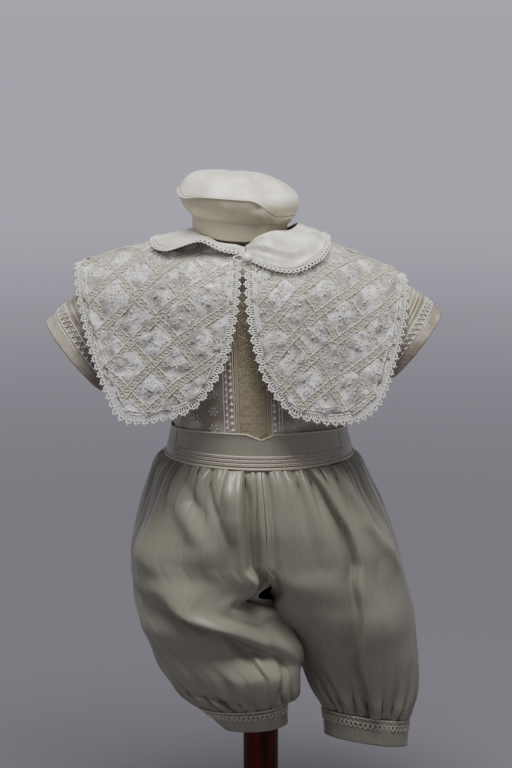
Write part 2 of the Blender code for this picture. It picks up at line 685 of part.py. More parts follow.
def scallop_places(points, normals):
    """Half-scallop places on a line: a whole number of scallops to each straight run."""
    found = []
    for index, (start, end) in enumerate(zip(points, points[1:])):
        steps = 2 * max(1, round((end - start).length / SCALLOP_PITCH))
        before = normals[max(0, index - 1)]
        after = normals[min(len(normals) - 1, index + 1)]
        for step in range(steps + (index == len(normals) - 1)):
            t = step / steps
            here = normals[index]
            blend = before.lerp(here, 0.5 + t) if t < 0.5 else here.lerp(after, t - 0.5)
            found.append((start.lerp(end, t), blend.normalized()))
    return found


def build_scallops(name, edge):
    """Scalloped lace sewn along a cape piece's edge, two columns to a scallop."""
    down = math.copysign(1.0, sum(s for _, s in edge))
    places = scallop_places(*inset_line(edge, SCALLOP_DEPTH - 2.0 * SEAM_GAP))
    steps = len(places) - 1
    bm = flat_grid(steps, 1)
    bmesh.ops.dissolve_verts(bm, verts=[v for v in bm.verts if v.co.y == 0.0 and round(v.co.x) % 2])

    def place(lift):
        def at(column, row):
            spot, outward = places[round(column)]
            reach = SCALLOP_DEPTH - 2.0 * SEAM_GAP if round(column) % 2 else SCALLOP_VALLEY
            spot = spot + outward * (reach * row)
            spot.y = down * max(down * spot.y, SEAM_GAP)
            return cape_place(spot.x, spot.y, lift)
        return at

    return wall(name, WHITE_LACE, bm, place(0.2), place(0.2 + LACE_WALL))


build_scallops("cape_lace_front_left", CAPE_FRONT_LEFT)
build_scallops("cape_lace_front_right", CAPE_FRONT_RIGHT)
build_scallops("cape_lace_back", CAPE_BACK)

COLLAR_COLUMNS = 20
COLLAR_ROWS = 3


def collar_point(side, edge, turn, part, shift=0.0):
    """Flat place of the collar: part 0 is the neckline, 1 the outer edge, shifted out."""
    reach = table(edge, turn, 1)
    radius = lerp(NECK_HOLE + 3.0, reach, part) + shift
    angle = math.radians(turn)
    x = CAPE_MIDDLE + side * radius * math.sin(angle)
    s = radius * math.cos(angle)
    return x, s


def collar_lift(side, turn, part):
    """How far the collar stands off the cape: over the braids, and higher at its rolled part."""
    base = SATIN_WALL + TRELLIS_RISE + 0.9
    roll = 1.5 * (1.0 - part) ** 2
    if side < 0:
        roll += 8.0 * math.exp(-((turn - 42.0) / 16.0) ** 2) * part
    return base + roll


def build_collar(name, side, edge):
    inset = PICOT_WIDTH + SEAM_GAP
    start, end = 1.2, 179.4

    def place(extra):
        def at(column, row):
            turn = lerp(start, end, column / COLLAR_COLUMNS)
            part = row / COLLAR_ROWS
            x, s = collar_point(side, edge, turn, part, -inset * part)
            return cape_place(x, s, collar_lift(side, turn, part) + extra)
        return at

    bm = flat_grid(COLLAR_COLUMNS, COLLAR_ROWS)
    wall(name, WHITE_SATIN, bm, place(0.0), place(SATIN_WALL))

    def lace(extra):
        def at(column, row):
            turn = lerp(start, end, column / COLLAR_COLUMNS)
            x, s = collar_point(side, edge, turn, 1.0, -PICOT_WIDTH * (1.0 - row))
            return cape_place(x, s, collar_lift(side, turn, 1.0) + extra)
        return at

    bm = flat_grid(COLLAR_COLUMNS, 1)
    wall(name + "_picot", WHITE_LACE, bm, lace(0.2), lace(0.2 + LACE_WALL))


build_collar("collar_left", -1.0, COLLAR_LEFT_EDGE)
build_collar("collar_right", 1.0, COLLAR_RIGHT_EDGE)


# ---------------------------------------------------------------- trousers
def waist_point(turn, z):
    """Point of the waistband's section: turn runs from the front to the viewer's right."""
    _, left, right, deep = table(WAIST_ROWS, z)
    angle = math.radians(turn)
    reach = right if math.sin(angle) > 0 else -left
    return Vector((reach * math.sin(angle), -deep * math.cos(angle), z))


def build_waist_strip(name, look, start, end, columns, levels, lift, thickness):
    """Band round the waist between two turns; levels list a height and an extra rise."""
    bm = flat_grid(columns, len(levels) - 1)

    def place(outer):
        def at(column, row):
            turn = lerp(start, end, column / columns)
            z, rise = levels[round(row)]
            along, _, normal = slope(waist_point, turn, z, 1.0, 1.0)
            found = waist_point(turn, z) + in_plane(normal) * (lift + (thickness + rise if outer else 0.0))
            if round(column) == 0:
                found += along * SEAM_GAP * 0.5
            elif round(column) == columns:
                found -= along * SEAM_GAP * 0.5
            return found
        return at

    return wall(name, look, bm, place(False), place(True))


BAND_LEVELS = ((411.9, 0.0), (437.2, 0.0), (438.6, 0.7), (440.0, 0.0))
build_waist_strip("waistband_front", DUPIONI, WAIST_SEAM_LEFT, WAIST_SEAM_RIGHT, 12, BAND_LEVELS,
                  0.0, SATIN_WALL)
build_waist_strip("waistband_back", DUPIONI, WAIST_SEAM_RIGHT, 360.0 + WAIST_SEAM_LEFT, 20, BAND_LEVELS,
                  0.0, SATIN_WALL)
BRAID_LEVELS = [(lerp(BRAID_BOTTOM, BRAID_TOP, step / 6.0), 0.6 * (step % 2)) for step in range(7)]
build_waist_strip("waist_braid", BEIGE_BRAID, WAIST_SEAM_LEFT, WAIST_SEAM_RIGHT, 14, BRAID_LEVELS,
                  SATIN_WALL + 0.4, 0.9)


def leg_row(side, v):
    """Section of a leg at a fractional row: heights, centre, half sizes, turn, end angles, slopes."""
    rows = []
    for z, seam, left, right, deep in HIP_ROWS:
        reach = seam - left if side < 0 else right - seam
        ends = (-90.0, -270.0) if side < 0 else (-90.0, 90.0)
        rows.append((z, z, seam, 0.0, reach, deep, 0.0, *ends, 0.0, 0.0))
    rows += LEG_LEFT_ROWS if side < 0 else LEG_RIGHT_ROWS
    return at_row(rows, v)


def fold_height(side, column, v):
    """Rise of the cloth from gathers and large folds."""
    gathers = GATHER_LEFT if side < 0 else GATHER_RIGHT
    folds = FOLDS_LEFT if side < 0 else FOLDS_RIGHT
    uneven = 1.0 + 0.35 * math.sin(2.3 * column + 0.7 * side) + 0.2 * math.sin(5.1 * column + side)
    wave = column
    if column > LEG_COLUMNS:
        wave = LEG_COLUMNS + (column - LEG_COLUMNS) * LEG_BACK_COLUMNS / LEG_COLUMNS
    height = at_row([(value,) for value in gathers], v)[0] * uneven * math.cos(math.pi * wave)
    for from_column, from_row, to_column, to_row, half, rise in folds:
        t = (v - from_row) / (to_row - from_row)
        fade = smooth(2.5 * (t + 0.12)) * smooth(2.5 * (1.12 - t))
        if fade <= 0.0:
            continue
        middle = lerp(from_column, to_column, min(1.0, max(0.0, t)))
        height += rise * fade * math.exp(-((column - middle) / half) ** 2)
    return height


def leg_point(side):
    """Surface of a leg by column and row, column 0 at the centre front."""
    whole = 2 * LEG_COLUMNS
    last = len(HIP_ROWS) + len(LEG_LEFT_ROWS if side < 0 else LEG_RIGHT_ROWS) - 1

    def point(column, v):
        z_side, z_end, cx, cy, a, b, turn, front, back, slope_x, slope_y = leg_row(side, v)
        u = column / whole
        angle = math.radians(lerp(front, back, u))
        end = abs(2.0 * u - 1.0) ** 4
        x, y = a * math.cos(angle), b * math.sin(angle)
        nx, ny = b * math.cos(angle), a * math.sin(angle)
        size = math.hypot(nx, ny)
        calm = smooth(min(column, whole - column) / 1.5)
        rise = fold_height(side, column, v) * calm
        x, y = x + rise * nx / size, y + rise * ny / size
        c, s = math.cos(math.radians(turn)), math.sin(math.radians(turn))
        x, y = x * c - y * s, x * s + y * c
        z = lerp(z_side, z_end, end) + slope_x * x + slope_y * y
        return Vector((cx + x, cy + y, z))

    return point, last


def build_leg(name, side, start, columns):
    point, last = leg_point(side)
    bm = flat_grid(columns, last)
    sign = 1.0 if side < 0 else -1.0

    def place(lift):
        def at(column, row):
            here = start + column * LEG_COLUMNS / columns
            along, _, normal = slope(point, here, min(last - 0.05, max(0.05, row)), 0.3, 0.05)
            if round(row) in (0, last):
                normal = in_plane(normal, *leg_row(side, row)[9:])
            found = point(here, row) + normal * sign * lift
            if round(column) == 0:
                found += along * SEAM_GAP * 0.8
            elif round(column) == columns:
                found -= along * SEAM_GAP * 0.8
            return found
        return at

    return wall(name, DUPIONI, bm, place(0.0), place(LEG_WALL))


build_leg("leg_left_front", -1, 0, LEG_COLUMNS)
build_leg("leg_left_back", -1, LEG_COLUMNS, LEG_BACK_COLUMNS)
build_leg("leg_right_front", 1, 0, LEG_COLUMNS)
build_leg("leg_right_back", 1, LEG_COLUMNS, LEG_BACK_COLUMNS)


def build_cuff(name, rows, columns=24):
    """Straight band of a leg's cuff, with its lace lying on the upper half."""

    def point(u, v):
        z, cx, cy, a, b, turn, slope_x, slope_y = at_row(rows, v)
        angle = 2.0 * math.pi * u / columns
        x, y = a * math.cos(angle), b * math.sin(angle)
        c, s = math.cos(math.radians(turn)), math.sin(math.radians(turn))
        x, y = x * c - y * s, x * s + y * c
        return Vector((cx + x, cy + y, z + slope_x * x + slope_y * y))

    def place(levels, lift, rise=0.0):
        def at(column, row):
            column = column % columns
            v = levels[round(row)]
            normal = slope(point, column, min(0.95, max(0.05, v)), 0.05, 0.04)[2]
            normal = in_plane(normal, *rows[0][6:])
            return point(column, v) - normal * (lift + rise)
        return at

    plain = (0.0, 1.0)
    bm = flat_grid(columns, 1)
    wall(name, DUPIONI, bm, place(plain, 0.0), place(plain, SATIN_WALL), tube=columns)

    def lace(lift):
        def at(column, row):
            column = round(column) % columns
            v = (0.03 if column % 2 else 0.1) if round(row) == 0 else (0.42 if column % 2 else 0.34)
            normal = slope(point, column, 0.3, 0.05, 0.04)[2]
            return point(column, v) - normal * lift
        return at

    bm = flat_grid(columns, 1)
    wall(name + "_lace", WHITE_LACE, bm, lace(SATIN_WALL + 0.4), lace(SATIN_WALL + 0.4 + LACE_WALL),
         tube=columns)


build_cuff("cuff_left", CUFF_LEFT_ROWS)
build_cuff("cuff_right", CUFF_RIGHT_ROWS)


# ---------------------------------------------------------------- beret
BERET_COLUMNS = 28


def beret_ring(turn, which):
    """Rings of the beret by turn from the front: rim, top of the band, foot of the band."""
    angle = math.radians(turn)
    side, front = math.sin(angle), math.cos(angle)
    if which == "rim":
        ripple = 0.8 * math.sin(5.0 * angle + 0.6) + 0.5 * math.sin(9.0 * angle)
        radius = CROWN_RIM + ripple
        z = RIM_Z - 7.0 * side + 1.5 * front + 1.2 * math.sin(3.0 * angle + 0.4)
        return Vector((BERET_X + radius * side, -radius * front, z))
    if which == "top":
        z = 647.0 - 4.5 * side + 1.0 * front
        return Vector((BAND_X + BAND_RADIUS * side, -(BAND_RADIUS + 1.0) * front, z))
    foot = 638.2 - 1.0 * side - 8.0 * max(0.0, front) ** 1.5
    return Vector((BAND_X + (BAND_RADIUS - 0.5) * side, -BAND_RADIUS * front, foot))


def crown_point(u, v):
    """Puffed crown: v 0 is its middle, v 1 its rim; the left side stands up."""
    turn = 360.0 * u / BERET_COLUMNS
    angle = math.radians(turn)
    rim = beret_ring(turn, "rim")
    middle = Vector((BERET_X + 1.0, 0.0, CROWN_TOP))
    power = 3.6 - 1.6 * math.sin(angle) + 1.6 * max(0.0, -math.sin(angle)) ** 2
    spot = middle.lerp(rim, v)
    spot.z = rim.z + (middle.z - rim.z) * (1.0 - abs(v) ** power)
    sag = 1.4 * math.sin(3.0 * angle + 1.1) + 0.9 * math.sin(7.0 * angle)
    spot.z += sag * 4.0 * v * v * (1.0 - v)
    return spot


def side_point(u, v):
    turn = 360.0 * u / BERET_COLUMNS
    rim, top = beret_ring(turn, "rim"), beret_ring(turn, "top")
    spot = rim.lerp(top, v)
    out = Vector((math.sin(math.radians(turn)), -math.cos(math.radians(turn)), 0.0))
    return spot + out * (2.2 * math.sin(math.pi * min(1.0, max(0.0, v))))


def band_point(u, v):
    turn = 360.0 * u / BERET_COLUMNS
    return beret_ring(turn, "top").lerp(beret_ring(turn, "foot"), v)


def build_beret():
    levels = (0.0, 0.36, 0.66, 0.88, 1.0)

    def crown(lift):
        def at(column, row):
            column = column % BERET_COLUMNS
            v = levels[round(row)]
            if v == 0.0:
                return Vector((BERET_X + 1.0, 0.0, CROWN_TOP + lift))
            normal = slope(crown_point, column, min(0.97, v), 0.1, 0.03)[2]
            return crown_point(column, v) + normal * (lift if normal.z > 0 else -lift)
        return at

    bm = flat_grid(BERET_COLUMNS, len(levels) - 1)
    wall("beret_crown_top", WHITE_SATIN, bm, crown(-SATIN_WALL), crown(0.0), tube=BERET_COLUMNS, pole=0)

    def ring(point, levels, lift, drop):
        def at(column, row):
            column = column % BERET_COLUMNS
            v = levels[round(row)]
            turn = math.radians(360.0 * column / BERET_COLUMNS)
            normal = slope(point, column, min(0.95, max(0.05, v)), 0.1, 0.04)[2]
            outward = Vector((math.sin(turn), -math.cos(turn), 0.0))
            if normal.dot(outward) < 0:
                normal = -normal
            return point(column, v) + normal * lift + Vector((0.0, 0.0, -drop))
        return at

    bm = flat_grid(BERET_COLUMNS, 2)
    rows = (0.0, 0.5, 1.0)
    wall("beret_crown_side", WHITE_SATIN, bm, ring(side_point, rows, -SATIN_WALL, 1.9),
         ring(side_point, rows, 0.0, 1.9), tube=BERET_COLUMNS)
    bm = flat_grid(BERET_COLUMNS, 1)
    rows = (0.0, 1.0)
    wall("beret_band", WHITE_SATIN, bm, ring(band_point, rows, -SATIN_WALL, 2.4),
         ring(band_point, rows, 0.0, 2.4), tube=BERET_COLUMNS)


build_beret()


# ---------------------------------------------------------------- button
def build_button():
    """Domed pearl button with its shank, lying on the collar's meeting point."""
    seat = cape_place(CAPE_MIDDLE + 1.5, 62.0, 0.0)
    normal = -slope(cape_point, CAPE_MIDDLE + 1.5, 62.0, 2.0, 2.0)[2]
    radius = BUTTON_DIAMETER / 2.0
    profile = ((0.0, 4.2), (0.45 * radius, 3.9), (0.8 * radius, 2.8), (radius, 1.4), (0.9 * radius, 0.4),
               (0.35 * radius, 0.0), (0.35 * radius, -2.0), (0.0, -2.0))
    made = turned("neck_button", PEARL, profile, 14)
    made.location = (seat + normal * (collar_lift(1.0, 0.0, 1.0) + SATIN_WALL + 2.2)) * MM
    made.rotation_euler = normal.to_track_quat("Z", "Y").to_euler()
    return made


build_button()
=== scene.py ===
"""Looks of a boy's christening suit on its limbless dress form.

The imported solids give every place. Each cloth piece here is a thin shell on its solid's form, with
finer gathers, creases, braid, embroidery and lace. Shapes are worked out in millimetres and turned
to metres when a piece is finished. A pattern follows its cloth through a UV map in hundreds of
millimetres.
"""

import logging
import math
from collections.abc import Callable, Iterable, Sequence
from dataclasses import dataclass, field
from enum import Enum
from itertools import pairwise, product

import bmesh
import bpy
from mathutils import Matrix, Vector, noise

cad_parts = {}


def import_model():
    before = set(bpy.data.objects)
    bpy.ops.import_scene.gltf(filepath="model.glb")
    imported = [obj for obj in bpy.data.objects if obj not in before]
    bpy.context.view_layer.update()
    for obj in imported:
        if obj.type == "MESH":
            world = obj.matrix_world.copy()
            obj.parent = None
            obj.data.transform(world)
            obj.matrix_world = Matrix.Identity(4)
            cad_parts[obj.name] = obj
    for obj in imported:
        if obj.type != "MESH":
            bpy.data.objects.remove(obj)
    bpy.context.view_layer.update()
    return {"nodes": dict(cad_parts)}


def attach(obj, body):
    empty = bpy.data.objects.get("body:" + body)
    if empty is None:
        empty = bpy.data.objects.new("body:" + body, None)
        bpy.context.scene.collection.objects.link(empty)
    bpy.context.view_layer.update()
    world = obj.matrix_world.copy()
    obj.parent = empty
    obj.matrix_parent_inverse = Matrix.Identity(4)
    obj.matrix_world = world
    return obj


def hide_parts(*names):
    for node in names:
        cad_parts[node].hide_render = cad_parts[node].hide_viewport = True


log = logging.getLogger("christening_suit")

MM = 0.001
PATTERN_UNIT = 100.0
UP = Vector((0.0, 0.0, 1.0))
EAST = Vector((1.0, 0.0, 0.0))
LEAST_COVER = 0.31  # least share of a cloth's flat size that its shown area covers

Row = tuple[float, ...]
Flat = tuple[float, float]
Cut = tuple[float, float, float]
Surface = Callable[[float, float], Vector]
Heart = Callable[[Vector], Vector]


class Slot(Enum):
    """Material slots, passed with each piece beside its finish; nothing here reads them."""

    WHITE_SATIN = "white_satin"
    CAPE_SATIN = "cape_satin"
    WHITE_LACE = "white_lace"
    BEIGE_BRAID = "beige_braid"
    SHIRT_SATIN = "shirt_satin"
    IVORY_DUPIONI = "ivory_dupioni"
    PEARL = "pearl"


class Side(Enum):
    """Viewer's left and right."""

    LEFT = -1.0
    RIGHT = 1.0


# ------------------------------------------------------------------ numbers
def lerp(a: float, b: float, t: float) -> float:
    """Value at a share t of the way from a to b."""
    return a + (b - a) * t


def smooth(t: float) -> float:
    """Soft step from 0 to 1."""
    t = min(1.0, max(0.0, t))
    return t * t * (3.0 - 2.0 * t)


def bell(offset: float, width: float) -> float:
    """Soft bump of height 1 and of a half width."""
    return math.exp(-((offset / width) ** 2))


def wander(a: float, b: float = 0.0, c: float = 0.0) -> float:
    """Smooth value from about -1 to 1 that is the same on every run."""
    return noise.noise(Vector((a, b, c))) * 1.6


def spline_row(rows: Sequence[Row], key: float) -> Row:
    """Row of a table on a smooth curve through its rows, which never overshoots them.

    Args:
        rows: The table, whose first column rises steadily.
        key: Value of the first column.

    Returns:
        The whole row, the key included.
    """
    if key <= rows[0][0]:
        return rows[0]
    if key >= rows[-1][0]:
        return rows[-1]
    low = next(i for i in range(len(rows) - 1) if key <= rows[i + 1][0])
    start, end = rows[low], rows[low + 1]
    before, after = rows[max(0, low - 1)], rows[min(len(rows) - 1, low + 2)]
    span = end[0] - start[0]
    t = (key - start[0]) / span
    h = (2 * t**3 - 3 * t**2 + 1, t**3 - 2 * t**2 + t, 3 * t**2 - 2 * t**3, t**3 - t**2)
    found = []
    for a, b, previous, following in zip(start, end, before, after):
        chord = b - a
        first = (b - previous) / (end[0] - before[0]) * span
        second = (following - a) / (after[0] - start[0]) * span
        if abs(chord) < 1e-9:
            first = second = 0.0
        else:
            first = chord * min(3.0, max(0.0, first / chord))
            second = chord * min(3.0, max(0.0, second / chord))
        found.append(h[0] * a + h[1] * first + h[2] * b + h[3] * second)
    found[0] = key
    return tuple(found)


class Profile:
    """Smooth curves through a table's rows, worked out once at fine steps."""

    def __init__(self, rows: Sequence[Row], step: float = 1.0) -> None:
        """Work the curves out; the first column rises or falls steadily."""
        ordered = list(rows) if rows[0][0] < rows[-1][0] else list(rows)[::-1]
        self.low, self.high = ordered[0][0], ordered[-1][0]
        self.count = max(1, round((self.high - self.low) / step))
        self.step = (self.high - self.low) / self.count
        self.rows = [spline_row(ordered, self.low + i * self.step) for i in range(self.count + 1)]

    def at(self, key: float) -> Row:
        """Row at a value of the first column, which is kept within the table."""
        place = (min(self.high, max(self.low, key)) - self.low) / self.step
        index = min(self.count - 1, int(place))
        share = place - index
        return tuple([a + (b - a) * share for a, b in zip(self.rows[index], self.rows[index + 1])])


def by_level(rows: Sequence[Row]) -> Profile:
    """Profile of a table whose rows are levels 0, 1, 2 and on."""
    return Profile([(float(i), *row) for i, row in enumerate(rows)], 0.05)


def directions(surface: Surface, u: float, v: float, du: float, dv: float) -> tuple[Vector, Vector, Vector]:
    """Unit directions of a surface along u and v, and its normal.

    Args:
        surface: Gives a place from u and v.
        u: First flat coordinate.
        v: Second flat coordinate.
        du: Half step along u.
        dv: Half step along v.

    Returns:
        The direction along u, the direction along v, and the normal.
    """
    along = (surface(u + du, v) - surface(u - du, v)).normalized()
    down = (surface(u, v + dv) - surface(u, v - dv)).normalized()
    return along, down, along.cross(down).normalized()


def turned(x: float, y: float, degrees: float) -> Flat:
    """Flat place turned about the origin."""
    c, s = math.cos(math.radians(degrees)), math.sin(math.radians(degrees))
    return x * c - y * s, x * s + y * c


def outward(turn: float) -> Vector:
    """Level direction at a turn, in degrees, from the front to the viewer's right."""
    angle = math.radians(turn)
    return Vector((math.sin(angle), -math.cos(angle), 0.0))


# ------------------------------------------------------------------ materials
def linear(code: str) -> tuple[float, float, float, float]:
    """Linear colour of an sRGB hex code."""
    parts = [int(code[i : i + 2], 16) / 255.0 for i in (1, 3, 5)]
    return (*[p / 12.92 if p <= 0.04045 else ((p + 0.055) / 1.055) ** 2.4 for p in parts], 1.0)


def add_node(
    tree: bpy.types.NodeTree, kind: str, inputs: dict | None = None, **settings: str
) -> bpy.types.Node:
    """Add a shader node.

    Args:
        tree: The material's node tree.
        kind: Blender's name of the node type, without ShaderNode before it.
        inputs: Socket name or number, with a value or a socket to link from.
        settings: The node's own properties.

    Returns:
        The node.
    """
    node = tree.nodes.new(f"ShaderNode{kind}")
    for name, value in settings.items():
        setattr(node, name, value)
    for name, value in (inputs or {}).items():
        if isinstance(value, bpy.types.NodeSocket):
            tree.links.new(value, node.inputs[name])
        else:
            node.inputs[name].default_value = value
    return node


@dataclass(frozen=True)
class Finish:
    """What every finish states: its colour and its gloss."""

    name: str
    colour: str
    roughness: float
    sheen: float = 0.0
    specular: float = 0.5
    coat: float = 0.0
    metallic: float = 0.0

    def material(self) -> bpy.types.Material:
        """The finish as a material, made once."""
        known = bpy.data.materials.get(self.name)
        if known:
            return known
        made = bpy.data.materials.new(self.name)
        made.use_nodes = True
        shader = made.node_tree.nodes["Principled BSDF"]
        values = {
            "Base Color": linear(self.colour), "Roughness": self.roughness, "Metallic": self.metallic,
            "Specular IOR Level": self.specular, "Sheen Weight": self.sheen, "Sheen Roughness": 0.4,
            "Coat Weight": self.coat, "Coat Roughness": 0.12,
        }
        for name, value in values.items():
            shader.inputs[name].default_value = value
        self.dress(made.node_tree, shader)
        return made

    def dress(self, tree: bpy.types.NodeTree, shader: bpy.types.Node) -> None:
        """Add the finish's own pattern."""

    def tint(self, shader: bpy.types.Node, share: bpy.types.NodeSocket, low: str, high: str) -> None:
        """Colour the surface between two tones.

        Args:
            shader: The finish's shader.
            share: Gives 0 for the low tone and 1 for the high one.
            low: sRGB tone, or nothing for the colour that the surface already has.
            high: sRGB tone.
        """
        tree, base = shader.id_data, shader.inputs["Base Color"]
        under = linear(low) if low else base.links[0].from_socket
        values = {"Factor": share, "A": under, "B": linear(high)}
        blend = add_node(tree, "Mix", values, data_type="RGBA")
        tree.links.new(blend.outputs["Result"], base)

    def relief(
        self, shader: bpy.types.Node, height: bpy.types.NodeSocket, strength: float, deep: float
    ) -> None:
        """Raise the surface, on top of any relief that it already has.

        Args:
            shader: The finish's shader.
            height: Gives the height, 0 to 1.
            strength: How strongly it shows.
            deep: Height of a full step, in millimetres.
        """
        tree, normal = shader.id_data, shader.inputs["Normal"]
        values = {"Height": height, "Strength": strength, "Distance": deep * MM}
        if normal.is_linked:
            values["Normal"] = normal.links[0].from_socket
        bump = add_node(tree, "Bump", values)
        tree.links.new(bump.outputs[0], normal)

    def pattern(self, tree: bpy.types.NodeTree, across: float, along: float) -> bpy.types.NodeSocket:
        """Coordinates of the cloth, one unit to a pattern step of so many millimetres."""
        uv = add_node(tree, "UVMap", uv_map="cloth")
        scale = (PATTERN_UNIT / across, PATTERN_UNIT / along, 1.0)
        return add_node(tree, "Mapping", {"Vector": uv.outputs[0], "Scale": scale}).outputs[0]

    def solid(self, tree: bpy.types.NodeTree, step: float, tall: float = 0.0) -> bpy.types.NodeSocket:
        """Object coordinates, one unit to a step of so many millimetres, or upwards to a taller one."""
        where = add_node(tree, "TexCoord").outputs["Object"]
        scale = (1.0 / (step * MM), 1.0 / (step * MM), 1.0 / ((tall or step) * MM))
        return add_node(tree, "Mapping", {"Vector": where, "Scale": scale}).outputs[0]


@dataclass(frozen=True)
class SatinFinish(Finish):
    """Duchesse satin: a smooth float weave with a soft, broad sheen, faint creasing and painted shimmer in
    clouds.
    """

    # The shade is the dark tone of the painted shimmer, clouds that stand in for the satin's changing
    # reflection.
    shade: str = "#cfc8b6"
    crush: float = 0.35
    crush_mm: float = 1.2
    shimmer_mm: float = 26.0
    weave_mm: float = 1.1  # real floats are 0.2 mm, drawn coarser to show
    upright_shade: str = ""  # painted shade: tone of the upright cloth, darker than the top, which faces the light from above

    def dress(self, tree: bpy.types.NodeTree, shader: bpy.types.Node) -> None:
        """Painted shimmer in clouds, painted shade on upright cloth where asked, fine float weave and slight
        crushing.
        """
        # Painted shimmer: random clouds of light and dark tone in place of the satin's reflection.
        where = self.solid(tree, self.shimmer_mm)
        shimmer = add_node(tree, "TexNoise", {"Vector": where, "Scale": 1.0, "Detail": 3.0})
        tone = add_node(tree, "MapRange", {"Value": shimmer.outputs[0], "From Min": 0.42, "From Max": 0.6})
        self.tint(shader, tone.outputs[0], self.shade, self.colour)
        # Painted shade: cloth that faces sideways or down, and so gets less light from above, takes the
        # upright tone.
        if self.upright_shade:
            facing = add_node(tree, "NewGeometry")
            up = add_node(tree, "SeparateXYZ", {0: facing.outputs["Normal"]})
            share = add_node(tree, "MapRange", {"Value": up.outputs[2], "From Min": 0.55, "From Max": 0.0})
            self.tint(shader, share.outputs[0], "", self.upright_shade)
        where = self.pattern(tree, 7.0, 11.0)
        values = {"Vector": where, "Scale": 1.0, "Detail": 2.0, "Distortion": 0.8}
        creases = add_node(tree, "TexNoise", values)
        self.relief(shader, creases.outputs[0], self.crush, self.crush_mm)
        where = self.pattern(tree, self.weave_mm, self.weave_mm)
        values = {"Vector": where, "Scale": 1.0, "Distortion": 1.2}
        floats = add_node(tree, "TexWave", values, bands_direction="DIAGONAL")
        self.relief(shader, floats.outputs["Fac"], 0.12, 0.12)


@dataclass(frozen=True)
class DupioniFinish(Finish):
    """Silk dupioni: crisp plain weave whose slubbed threads run down the cloth as fine streaks."""

    slub: str = "#8f8870"
    lit: str = "#ddd8c6"
    thread_mm: float = 0.7  # real threads are 0.15 mm, drawn as their visible bunches
    slub_mm: float = 24.0

    def dress(self, tree: bpy.types.NodeTree, shader: bpy.types.Node) -> None:
        """Streaks in colour, gloss and relief."""
        where = self.pattern(tree, self.thread_mm, self.slub_mm)
        fine = add_node(tree, "TexNoise", {"Vector": where, "Scale": 1.0, "Detail": 2.0}).outputs[0]
        where = self.pattern(tree, 2.4, 21.0)
        coarse = add_node(tree, "TexNoise", {"Vector": where, "Scale": 1.0, "Detail": 3.0, "Roughness": 0.6})
        slubs = add_node(tree, "MapRange", {"Value": coarse.outputs[0], "From Min": 0.56, "From Max": 0.74})
        threads = add_node(tree, "MapRange", {"Value": fine, "From Min": 0.32, "From Max": 0.7})
        self.tint(shader, threads.outputs[0], self.colour, self.lit)
        share = add_node(tree, "Math", {0: slubs.outputs[0], 1: 0.25}, operation="MULTIPLY")
        self.tint(shader, share.outputs[0], "", self.slub)
        matt, glossy = self.roughness + 0.05, self.roughness - 0.05
        gloss = add_node(tree, "MapRange", {"Value": fine, "To Min": matt, "To Max": glossy})
        tree.links.new(gloss.outputs[0], shader.inputs["Roughness"])
        self.relief(shader, fine, 0.12, 0.4)
        self.relief(shader, slubs.outputs[0], 0.12, 0.3)


@dataclass(frozen=True)
class ThreadFinish(Finish):
    """Twisted cotton thread or cord: matt, with plied twist and slight tone between stitches."""

    shade: str = "#cdc5b2"
    twist_mm: float = 1.0

    def dress(self, tree: bpy.types.NodeTree, shader: bpy.types.Node) -> None:
        """Plied twist and uneven tone."""
        values = {"Vector": self.solid(tree, self.twist_mm), "Scale": 1.0, "Distortion": 2.0, "Detail": 1.0}
        plies = add_node(tree, "TexWave", values, bands_direction="DIAGONAL").outputs["Fac"]
        patches = add_node(tree, "TexNoise", {"Vector": self.solid(tree, 3.0), "Scale": 1.0, "Detail": 2.0})
        tone = add_node(tree, "Math", {0: plies, 1: patches.outputs[0]}, operation="MULTIPLY")
        spread = add_node(tree, "MapRange", {"Value": tone.outputs[0], "From Min": 0.05, "From Max": 0.5})
        self.tint(shader, spread.outputs[0], self.shade, self.colour)
        self.relief(shader, plies, 0.5, 0.3)


@dataclass(frozen=True)
class SoutacheFinish(Finish):
    """Flat soutache band: beige braid with close slanting stitches that gather in darker patches."""

    shade: str = "#968a70"
    stitch_mm: float = 1.5

    def dress(self, tree: bpy.types.NodeTree, shader: bpy.types.Node) -> None:
        """Slanting stitches over uneven patches."""
        patches = add_node(tree, "TexNoise", {"Vector": self.solid(tree, 7.0), "Scale": 1.0, "Detail": 3.0})
        where = self.pattern(tree, self.stitch_mm * 2.0, self.stitch_mm)
        values = {"Vector": where, "Scale": 0.3, "Distortion": 3.0}
        stitches = add_node(tree, "TexWave", values, bands_direction="DIAGONAL").outputs["Fac"]
        both = add_node(tree, "Math", {0: patches.outputs[0], 1: stitches}, operation="MULTIPLY")
        share = add_node(tree, "MapRange", {"Value": both.outputs[0], "From Min": 0.1, "From Max": 0.45})
        self.tint(shader, share.outputs[0], self.shade, self.colour)
        self.relief(shader, stitches, 0.6, 0.5)


@dataclass(frozen=True)
class JerseyFinish(Finish):
    """Stretched cotton jersey: matt, with a fine even rib of stitches."""

    shade: str = "#a79d88"
    stitch_mm: float = 1.2

    def dress(self, tree: bpy.types.NodeTree, shader: bpy.types.Node) -> None:
        """Fine ribs and a faint mottle."""
        values = {"Vector": self.solid(tree, self.stitch_mm * 2.0), "Scale": 1.0, "Distortion": 0.6}
        ribs = add_node(tree, "TexWave", values, bands_direction="X")
        mottle = add_node(tree, "TexNoise", {"Vector": self.solid(tree, 15.0), "Scale": 1.0, "Detail": 3.0})
        self.tint(shader, mottle.outputs[0], self.colour, self.shade)
        self.relief(shader, ribs.outputs["Fac"], 0.3, 0.3)


